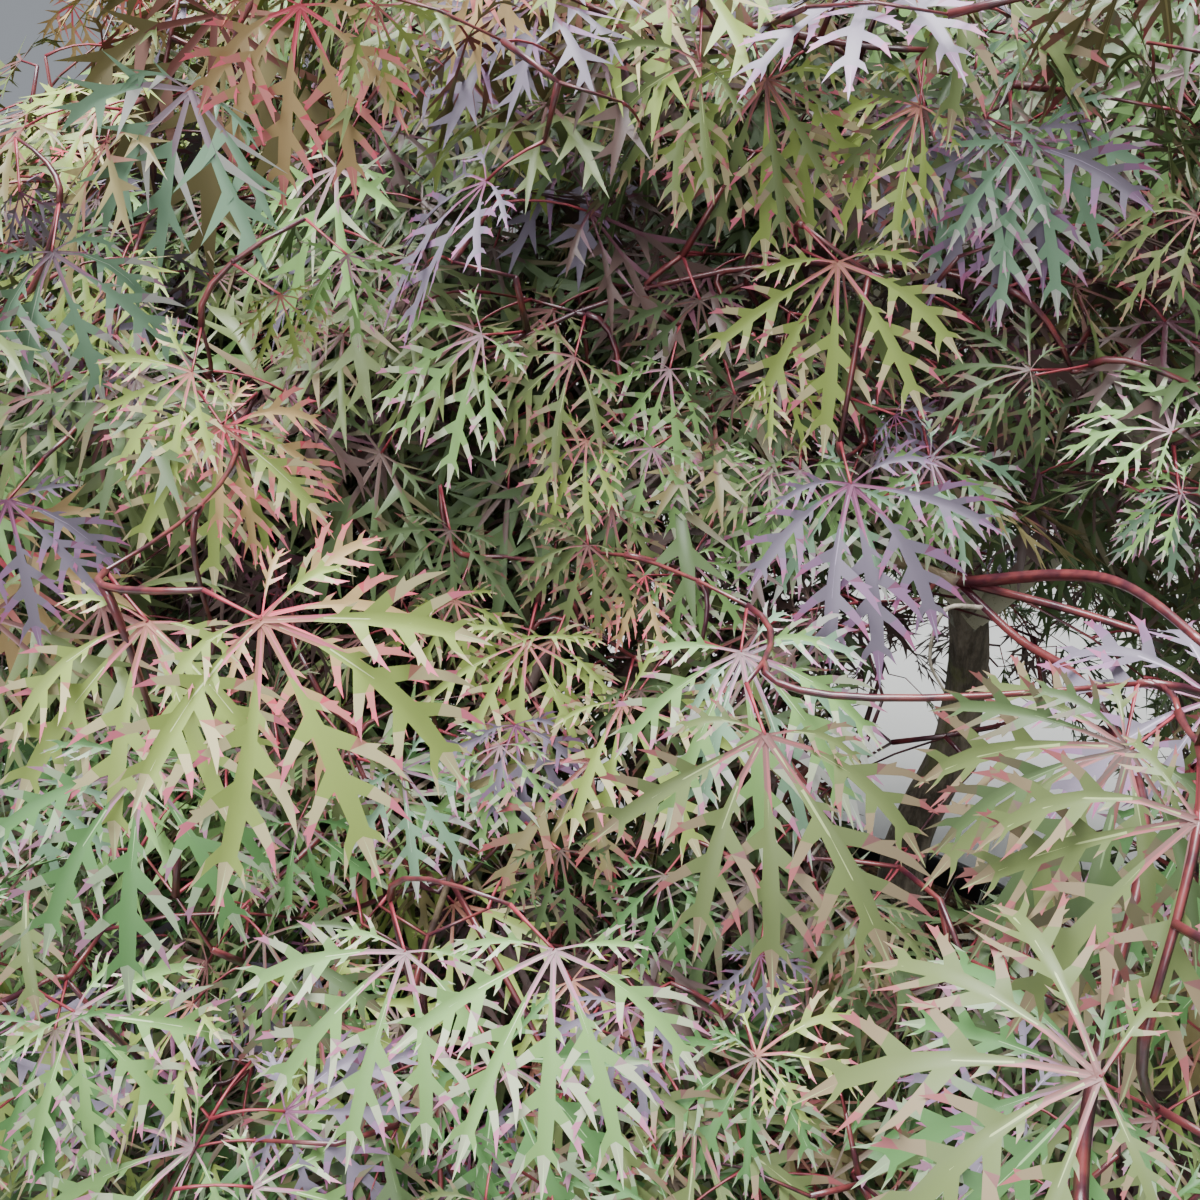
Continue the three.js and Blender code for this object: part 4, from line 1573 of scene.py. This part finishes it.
# %% A whole mass
JOINTS_TRIED = 6
REACH = (0.020, 0.30)  # shortest and longest twig that reaches for a bare place
ARCH = 0.12
REACH_RADII = (0.0016, 0.0009)


def grow_mass(index, mass):
    """The stem of a mass with all that it bears. Keeps how the mass reaches for bare places."""
    roll = dice(mass["seed"] + 500000)

    def bear_leaf(node, way, out, share, spray):
        size = dealt(LEAF, roll)
        return add_leaf(index, node, lean(way, out, dealt(LEAF_ANGLE, roll)), roll, size, spray)

    def bear_spur(node, way, out, share, spray):
        if roll() < LEAF_CHANCE[0] + LEAF_CHANCE[1] * share:
            return bear_leaf(node, way, out, share, spray)
        heading = lean(way, out, dealt(SPUR_ANGLE, roll))
        length = dealt(SPUR, roll)
        return grow(index, "spur", node, heading, length, SPUR_STEP, SPUR_SAG, SPUR_RADII, roll, bear_leaf)

    def bear_twig(node, way, out, share, spray):
        heading = lean(way, out, dealt(TWIG_ANGLE, roll))
        length = dealt(mass["twig"], roll)
        return grow(index, "twig", node, heading, length, TWIG_STEP, TWIG_SAG, TWIG_RADII, roll, bear_spur)

    def reach_for(goal):
        """A twig from the nearest joint to a bare place, arched as it goes."""
        for span, start, way in nearest_joints(goal, JOINTS_TRIED):
            if not REACH[0] < span < REACH[1]:
                continue
            over = start + unit(way + unit(goal - start)) * span * 0.5 + UP * span * ARCH
            count = max(1, round(span * 1.1 / TWIG_STEP))
            t = np.linspace(0, 1, count + 1)[:, None]
            points = arc(start, over, goal, t)
            if not np.all(in_shell(points[1:])) or not clear_of_limbs(points[1:]):
                continue
            if shows(goal[None]) and hides_near_leaf(points[1:]):
                continue
            ways = unit(np.gradient(points, axis=0))
            shoot = list(zip(points[1:], ways[1:]))
            return bear_along(index, "twig", list(points), shoot, REACH_RADII, roll, bear_spur)
        return 0

    mass["reach_for"] = reach_for
    radii = (mass["radius"] * STEM_RADII[0], STEM_RADII[1])
    start = mass["start"] - mass["heading"] * STEM_ROOT
    grow(index, "stem", start, mass["heading"], mass["stem"], STEM_STEP, mass["sag"], radii, roll, bear_twig)


# %% Growing the masses by the rule
for mass_index, mass in enumerate(masses):
    grow_mass(mass_index, mass)
print(len(leaves), "leaves by the rule alone")

# %% A twig for each near leaf
NEAR_STALK = 0.024
NEAR_TWIG_RADII = (0.0016, 0.0010)
NEAR_BESIDE = (-0.8, 1.6)  # a span for how far to one side such a twig comes from
PATH_STEP = 0.012
near_tints = {}
for near in near_leaves:
    root, axis = near["row"][:2]
    index = owner_of(root)
    away_from_eye = unit(root - EYE)
    beside = np.cross(axis, away_from_eye) * dealt(NEAR_BESIDE, near_roll)
    back = unit(-axis * 0.5 + UP * 0.2 + away_from_eye * 0.75 + beside)
    joint = root + back * NEAR_STALK
    span, start, way = nearest_joints(joint, 1)[0]
    over = start + way * span * 0.4 + away_from_eye * span * 0.15
    t = np.linspace(0, 1, max(6, round(span / PATH_STEP)))[:, None]
    path = arc(start, over, joint, t)
    add_path("twig", path, NEAR_TWIG_RADII, index)
    spray = next(sprays)
    near_tints[spray] = near["tint"]
    set_leaf(joint, unit(root - joint), 0.030, near["row"], index, spray)

# %% Shoots in front of the trunk, and dead twigs: pixels and distances, then radii
LONG_SHOOT = [(960, 583, 0.52), (1060, 575, 0.48), (1110, 580, 0.46), (1150, 600, 0.44), (1205, 645, 0.42)]
HANGING_SHOOT = [(962, 586, 0.52), (1020, 640, 0.50), (1075, 675, 0.48), (1130, 760, 0.45)]
HANGING_SHOOT += [(1145, 840, 0.42), (1110, 1000, 0.38), (1085, 1130, 0.35), (1080, 1215, 0.33)]
SHOOTS = [
    ("stem", [(700, 548, 0.62), (800, 540, 0.58), (880, 556, 0.55), (960, 583, 0.52)], (0.0028, 0.0031)),
    ("twig", LONG_SHOOT, (0.0026, 0.0018)),
    ("twig", [(972, 585, 0.515), (1060, 607, 0.50), (1145, 633, 0.49)], (0.0019, 0.0017)),
    ("twig", HANGING_SHOOT, (0.0022, 0.0018)),
    ("dead_twig", [(945, 610, 0.50), (930, 660, 0.505), (945, 692, 0.51)], (0.0011, 0.0006)),
    ("dead_twig", [(815, 870, 0.60), (850, 930, 0.605), (900, 990, 0.61)], (0.0011, 0.0006)),
    ("dead_twig", [(835, 850, 0.61), (868, 905, 0.61), (905, 985, 0.60)], (0.0009, 0.0005)),
    ("dead_twig", [(880, 285, 0.70), (852, 300, 0.70), (835, 332, 0.70)], (0.0013, 0.0007)),
]
for kind, corners, ends in SHOOTS:
    points = [seen_at(*corner) for corner in corners]
    index = owner_of(points[0])
    span, start, way = nearest_joints(points[0], 1)[0]
    if kind != "twig" and span > 0.01:
        points.insert(0, start)
    line = line_through(points)
    add_path(kind, line.at(np.linspace(0, 1, 5 * len(points))), ends, index)

# %% Twigs that reach for bare places
BARE_IN_VIEW = 0.034  # a place is bare when no leaf is this near
BARE_OUTSIDE = 0.053
GOALS = 9000  # places looked at for each mass
GOAL_RANGE = 0.42
GOAL_DEPTH = 0.74  # bare places further out of the crown's middle than this share are filled
GOAL_DEPTH_IN_VIEW = 0.46
GOAL_VIEW_DEPTH = 3

for mass_index, mass in enumerate(masses):
    places = np.random.default_rng(mass["seed"])
    goals = mass["middle"] + places.uniform(-GOAL_RANGE, GOAL_RANGE, (GOALS, 3))
    goals = goals[spaces_of(goals, mass_index)]
    for goal in goals:
        bare, depth = BARE_OUTSIDE, GOAL_DEPTH
        if shows(goal[None], GOAL_VIEW_DEPTH):
            depth = GOAL_DEPTH_IN_VIEW
        if shows(goal[None]):
            bare = BARE_IN_VIEW
        if dome_at(goal[None], 1)[0] > depth and nearest_leaf(goal) > bare:
            mass["reach_for"](goal)
print(len(leaves), "leaves with those that fill bare places")

# %% [markdown]
# ## Leaf colours
# In autumn the crown turns unevenly, with sprays that go lilac, bronze or coral. The tints also paint
# light and shade: lighter mint and fresh green on the crown's lit face, and darker shade, plum and
# olive sets inside as painted shade; the pale grey-green set is a painted sky sheen. Each spray takes
# one set of five plain colours: for the lobes' stalks, their blades, their flushed edges (also paler
# than the blades, as a painted sheen), their tips and the veins of the near ones.

# %% Sets of tints
TINTS = {
    "mint": ("#907779", "#719255", "#a5ad8e", "#b87391", "#b9cd9c"),
    "fresh": ("#9c6a5a", "#84944c", "#b1a67c", "#c26577", "#c4ce96"),
    "green": ("#6b5d50", "#4c7040", "#7b8b6d", "#875f72", "#8fab7a"),
    "shade": ("#54433e", "#445433", "#524d38", "#633c38", "#657850"),
    "olive": ("#6a4845", "#59643b", "#75674f", "#854b4c", "#8e9866"),
    "lilac": ("#744860", "#716876", "#836482", "#97587c", "#998ca0"),
    "coral": ("#b64855", "#9e845a", "#ba6f6a", "#d45d6f", "#c4a47e"),
    "bronze": ("#653a34", "#655c3c", "#755044", "#813e40", "#877c54"),
    # painted sheen: this pale grey-green set stands for the sky's reflection on the leaves
    "sky_sheen": ("#82707a", "#6d8b70", "#a09f98", "#a06f8a", "#adbfa6"),
    # painted shade: a dark plum set for leaves deep in the crown, darker than their own colour
    "shaded_plum": ("#4f2c36", "#4e3d39", "#573540", "#602f3c", "#6e5850"),
}
leaf_finishes = []
for tint, colors in TINTS.items():
    for zone, color in zip(ZONES, colors):
        leaf_finishes.append(Finish(f"{tint}_{zone}", color, 0.46, Specular_IOR_Level=0.30))


# Sets by depth, each with the share up to which it is dealt out. Deeper in the crown the sets are darker, as
# painted shade, and the sunlit set is lighter, as painted light.
DEEP_SHADE_TINTS = (("shade", 0.50), ("shaded_plum", 0.74), ("olive", 0.92), ("bronze", 1))
HALF_SHADE_TINTS = (("shade", 0.32), ("olive", 0.56), ("mint", 0.72), ("fresh", 0.80), ("shaded_plum", 0.90))
HALF_SHADE_TINTS += (("lilac", 1),)
TOP_TINTS = (("olive", 0.26), ("fresh", 0.44), ("mint", 0.54), ("coral", 0.68), ("bronze", 0.84))
TOP_TINTS += (("lilac", 0.92), ("sky_sheen", 1))
SUNLIT_TINTS = (("mint", 0.26), ("fresh", 0.46), ("olive", 0.64), ("sky_sheen", 0.72), ("lilac", 0.80))
SUNLIT_TINTS += (("coral", 0.88), ("shade", 1))
LOW_TINTS = (("green", 0.40), ("mint", 0.58), ("olive", 0.74), ("fresh", 0.84), ("shade", 0.93), ("lilac", 1))
LOW = 1.06  # height below which the leaves are still green, but for the deep ones
TOP = 1.28  # height above which they have turned most
LOW_FROM = 0.72  # how far out of the crown's middle green leaves start, as a share
DEEP = 0.80  # and how far the deep and the middle ones reach
MIDDLE = 0.90


def tint_of(spray, root):
    """Deals a set of tints to a spray by its place in the crown, with darker sets deeper in as painted shade.
    """
    if spray in near_tints:
        return near_tints[spray]
    share = dice(spray * 7919 + 13)()
    depth = dome_at(root[None], 1)[0]
    if root[2] < LOW and depth > LOW_FROM:
        order = LOW_TINTS
    # painted shade: leaves deep in the crown take the darkest sets
    elif depth < DEEP:
        order = DEEP_SHADE_TINTS
    elif depth < MIDDLE:
        order = HALF_SHADE_TINTS
    elif root[2] > TOP:
        order = TOP_TINTS
    else:
        order = SUNLIT_TINTS
    return next(name for name, limit in order if share <= limit)


# %% Leaves as joined meshes
NEAR = 0.52  # metres from the eye within which a leaf gets every tooth
FAR = 0.98  # and beyond which it gets the plainest outline
PIECE_LIMIT = 185000
VIEW_MARGIN = 150  # pixels round the frame that count as in view
tint_names = list(TINTS)
*leaf_rows, leaf_mass, leaf_spray = (np.array(column) for column in zip(*leaves))
roots = leaf_rows[0]
leaf_tint = np.array([tint_names.index(tint_of(*pair)) for pair in zip(leaf_spray.tolist(), roots)])
shown = pixels_of(roots)
in_view = np.all((shown[:, :2] > -VIEW_MARGIN) & (shown[:, :2] < PHOTO + VIEW_MARGIN), 1)
away = np.linalg.norm(roots - EYE, axis=1)
near_eye = in_view & (away < NEAR)
far_off = (~in_view) | (away > FAR)
# Outline, number of lobes, and which leaves have them
leaf_kinds = ((FINE_LOBE, 7, near_eye), (PLAIN_LOBE, 7, ~near_eye & ~far_off), (FAR_LOBE, 5, far_off))


def leaf_mesh(chosen, template, lobes):
    """Points, triangles and tint numbers of the chosen leaves."""
    points = leaf_points(template, lobes, *(row[chosen] for row in leaf_rows))
    tints = np.repeat(leaf_tint[chosen] * len(ZONES), lobes)[:, None] + template["zones"]
    return *copies(points.reshape(-1, *points.shape[2:]), template["faces"]), tints.ravel()


def leaf_piece(name, chosen):
    """One piece of leaves of every kind."""
    parts = []
    for template, lobes, mask in leaf_kinds:
        some = chosen & mask
        if some.any():
            parts.append(leaf_mesh(some, template, lobes))
    offset = np.cumsum([0] + [len(part[0]) for part in parts])
    points = np.vstack([part[0] for part in parts])
    faces = np.vstack([part[1] + start for part, start in zip(parts, offset)])
    tints = np.concatenate([part[2] for part in parts])
    return piece_from_arrays(name, points, [faces], leaf_finishes, tints)


leaf_cost = sum(len(template["faces"]) * lobes * mask for template, lobes, mask in leaf_kinds)
leaf_total = 0
ring_members = {ring_name: [] for ring_name in [*RINGS, "leader"]}
for i, mass in enumerate(masses):
    ring_members[mass["ring"]].append(i)
for ring_name, members in ring_members.items():
    batches = [[]]
    cost = 0
    for i in members:
        weight = leaf_cost[leaf_mass == i].sum()
        if cost + weight > PIECE_LIMIT and batches[-1]:
            batches.append([])
            cost = 0
        batches[-1].append(i)
        cost += weight
    for number, batch in enumerate(batches, 1):
        piece = leaf_piece(f"{ring_name}_leaves_{number}", np.isin(leaf_mass, batch))
        nodes = [masses[i]["node"] for i in batch]
        leaf_total += hand_in(piece, nodes)
print(leaf_total, "triangles of leaves;", int(near_eye.sum()), "near and", int(far_off.sum()), "far leaves")

# %% [markdown]
# ## Twigs and leaf stalks
# The stems that go on from the boughs are reddish brown, the young shoots dark maroon, the leaves'
# own stalks crimson, and a few dead twigs grey. Each is a slim tube with few sides. Tubes with the
# same number of points are made together with arrays, and each kind becomes one piece for each ring.

# %% Slim tubes from arrays


def tube_arrays(shoots, sides):
    """Points, four-sided faces and end caps of many slim tubes."""
    points, quads, caps = [], [], []
    total = 0
    by_count = {}
    for path, radii in shoots:
        by_count.setdefault(len(path), []).append((path, radii))
    angles = np.linspace(0, 2 * math.pi, sides, endpoint=False)
    for count, group in by_count.items():
        path = np.array([item[0] for item in group])
        radii = np.array([item[1] for item in group])
        ways = unit(np.gradient(path, axis=1))
        first = np.cross(ways[:, 0], UP)
        first[np.linalg.norm(first, axis=1) < STEEP] = (1, 0, 0)
        across = unit(first)[:, None] - ways * np.sum(first[:, None] * ways, 2, keepdims=True)
        across = unit(across)
        over = np.cross(ways, across)
        ring = across[:, :, None] * np.cos(angles)[:, None] + over[:, :, None] * np.sin(angles)[:, None]
        made = path[:, :, None] + ring * radii[:, :, None, None]
        base = total + np.arange(len(group))[:, None, None] * count * sides
        row = np.arange(count - 1)[None, :, None] * sides
        spot = np.arange(sides)[None, None, :]
        nxt = (spot + 1) % sides
        a, b = base + row + spot, base + row + nxt
        quads.append(np.stack([a, b, b + sides, a + sides], -1).reshape(-1, 4))
        ends = base[:, 0] + np.arange(sides)[None]
        caps.append(np.vstack([ends[:, ::-1], ends + (count - 1) * sides]))
        points.append(made.reshape(-1, 3))
        total += made.shape[0] * count * sides
    return np.vstack(points), np.vstack(quads), np.vstack(caps)


old_twig = Finish("stem_bark", "#5b4638", 0.6)
twig_tone = old_twig.grain(90, 4, 0.6)
old_twig.mottle(twig_tone, 0.35, 0.65, "#43302a", "#7a6a52")
old_twig.bump(twig_tone, 0.0005)
maroon_shoot = Finish("maroon_shoot", "#4a1f26", 0.34, Coat_Weight=0.25, Coat_Roughness=0.25)
maroon_shoot.mottle(maroon_shoot.grain(70, 4, 0.6), 0.35, 0.65, "#391722", "#6b3030")
crimson_stalk = Finish("crimson_stalk", "#8c3038", 0.38)
crimson_stalk.mottle(crimson_stalk.grain(45, 3, 0.6), 0.36, 0.66, "#6d2630", "#963c46")
dead_twig = Finish("dead_twig", "#8f8576", 0.8)
dead_tone = dead_twig.grain(120, 5, 0.7)
dead_twig.mottle(dead_tone, 0.35, 0.65, "#6f6557", "#aaa192")
dead_twig.bump(dead_tone, 0.0006)
KINDS = {
    "stem": (old_twig, 8),
    "twig": (maroon_shoot, 4),
    "spur": (maroon_shoot, 3),
    "stalk": (crimson_stalk, 3),
    "dead_twig": (dead_twig, 5),
}
for ring_name, members in ring_members.items():
    for kind, (finish, sides) in KINDS.items():
        shoots = [(path, radii) for path, radii, index in twigs[kind] if index in members]
        if not shoots:
            continue
        points, quads, caps = tube_arrays(shoots, sides)
        piece = piece_from_arrays(f"{ring_name}_{kind}s", points, [quads, caps], [finish])
        hand_in(piece, [masses[i]["node"] for i in members])

# %% [markdown]
# ## Floor and light
# A plain pale floor, a wide soft light overhead like an open sky, and a weaker one in front.

# %% Floor, lights and world
FLOOR_SIZE = 14
floor_bm = bmesh.new()
bmesh.ops.create_grid(floor_bm, x_segments=1, y_segments=1, size=FLOOR_SIZE)
pale_floor = Finish("pale_floor", "#b9b8b4", 0.85)
pale_floor.feed("Base Color", pale_floor.blend(pale_floor.grain(3, 4), "#b2b1ad", "#bfbeba"))
floor = piece_from("floor", floor_bm, [pale_floor], False)
bpy.context.scene.collection.objects.link(floor)
floor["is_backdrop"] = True


def area_light(name, place_at, aim, size, power, color):
    """A square light that looks at a point."""
    data = bpy.data.lights.new(name, "AREA")
    data.size = size
    data.energy = power
    data.color = color
    lamp = bpy.data.objects.new(name, data)
    lamp.location = place_at
    lamp.rotation_euler = (Vector(aim) - Vector(place_at)).to_track_quat("-Z", "Y").to_euler()
    bpy.context.scene.collection.objects.link(lamp)


area_light("sky_light", (-0.5, -0.2, 4.0), (0, -0.1, 0.9), 2.2, 540, (0.95, 0.98, 1.0))
area_light("front_light", (-1.6, -3.4, 2.8), (0, 0, 0.9), 2.0, 90, (0.95, 0.97, 1.0))
world = bpy.data.worlds.new("soft_sky")
world.use_nodes = True
sky = world.node_tree.nodes["Background"].inputs
sky["Color"].default_value = (0.85, 0.91, 1.0, 1)
sky["Strength"].default_value = 0.37
bpy.context.scene.world = world

# %% [markdown]
# ## Size
# The box of the solids and that of the dressed plant are both worked out. The visual
# model has to stay in the box of the solids.

# %% Both boxes, and the end
visual_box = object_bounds()
sizes = {"cad": [list(corner) for corner in cad_box], "visual": [list(c) for c in visual_box]}
print("the dressed plant reaches from", list(visual_box[0]), "to", list(visual_box[1]))
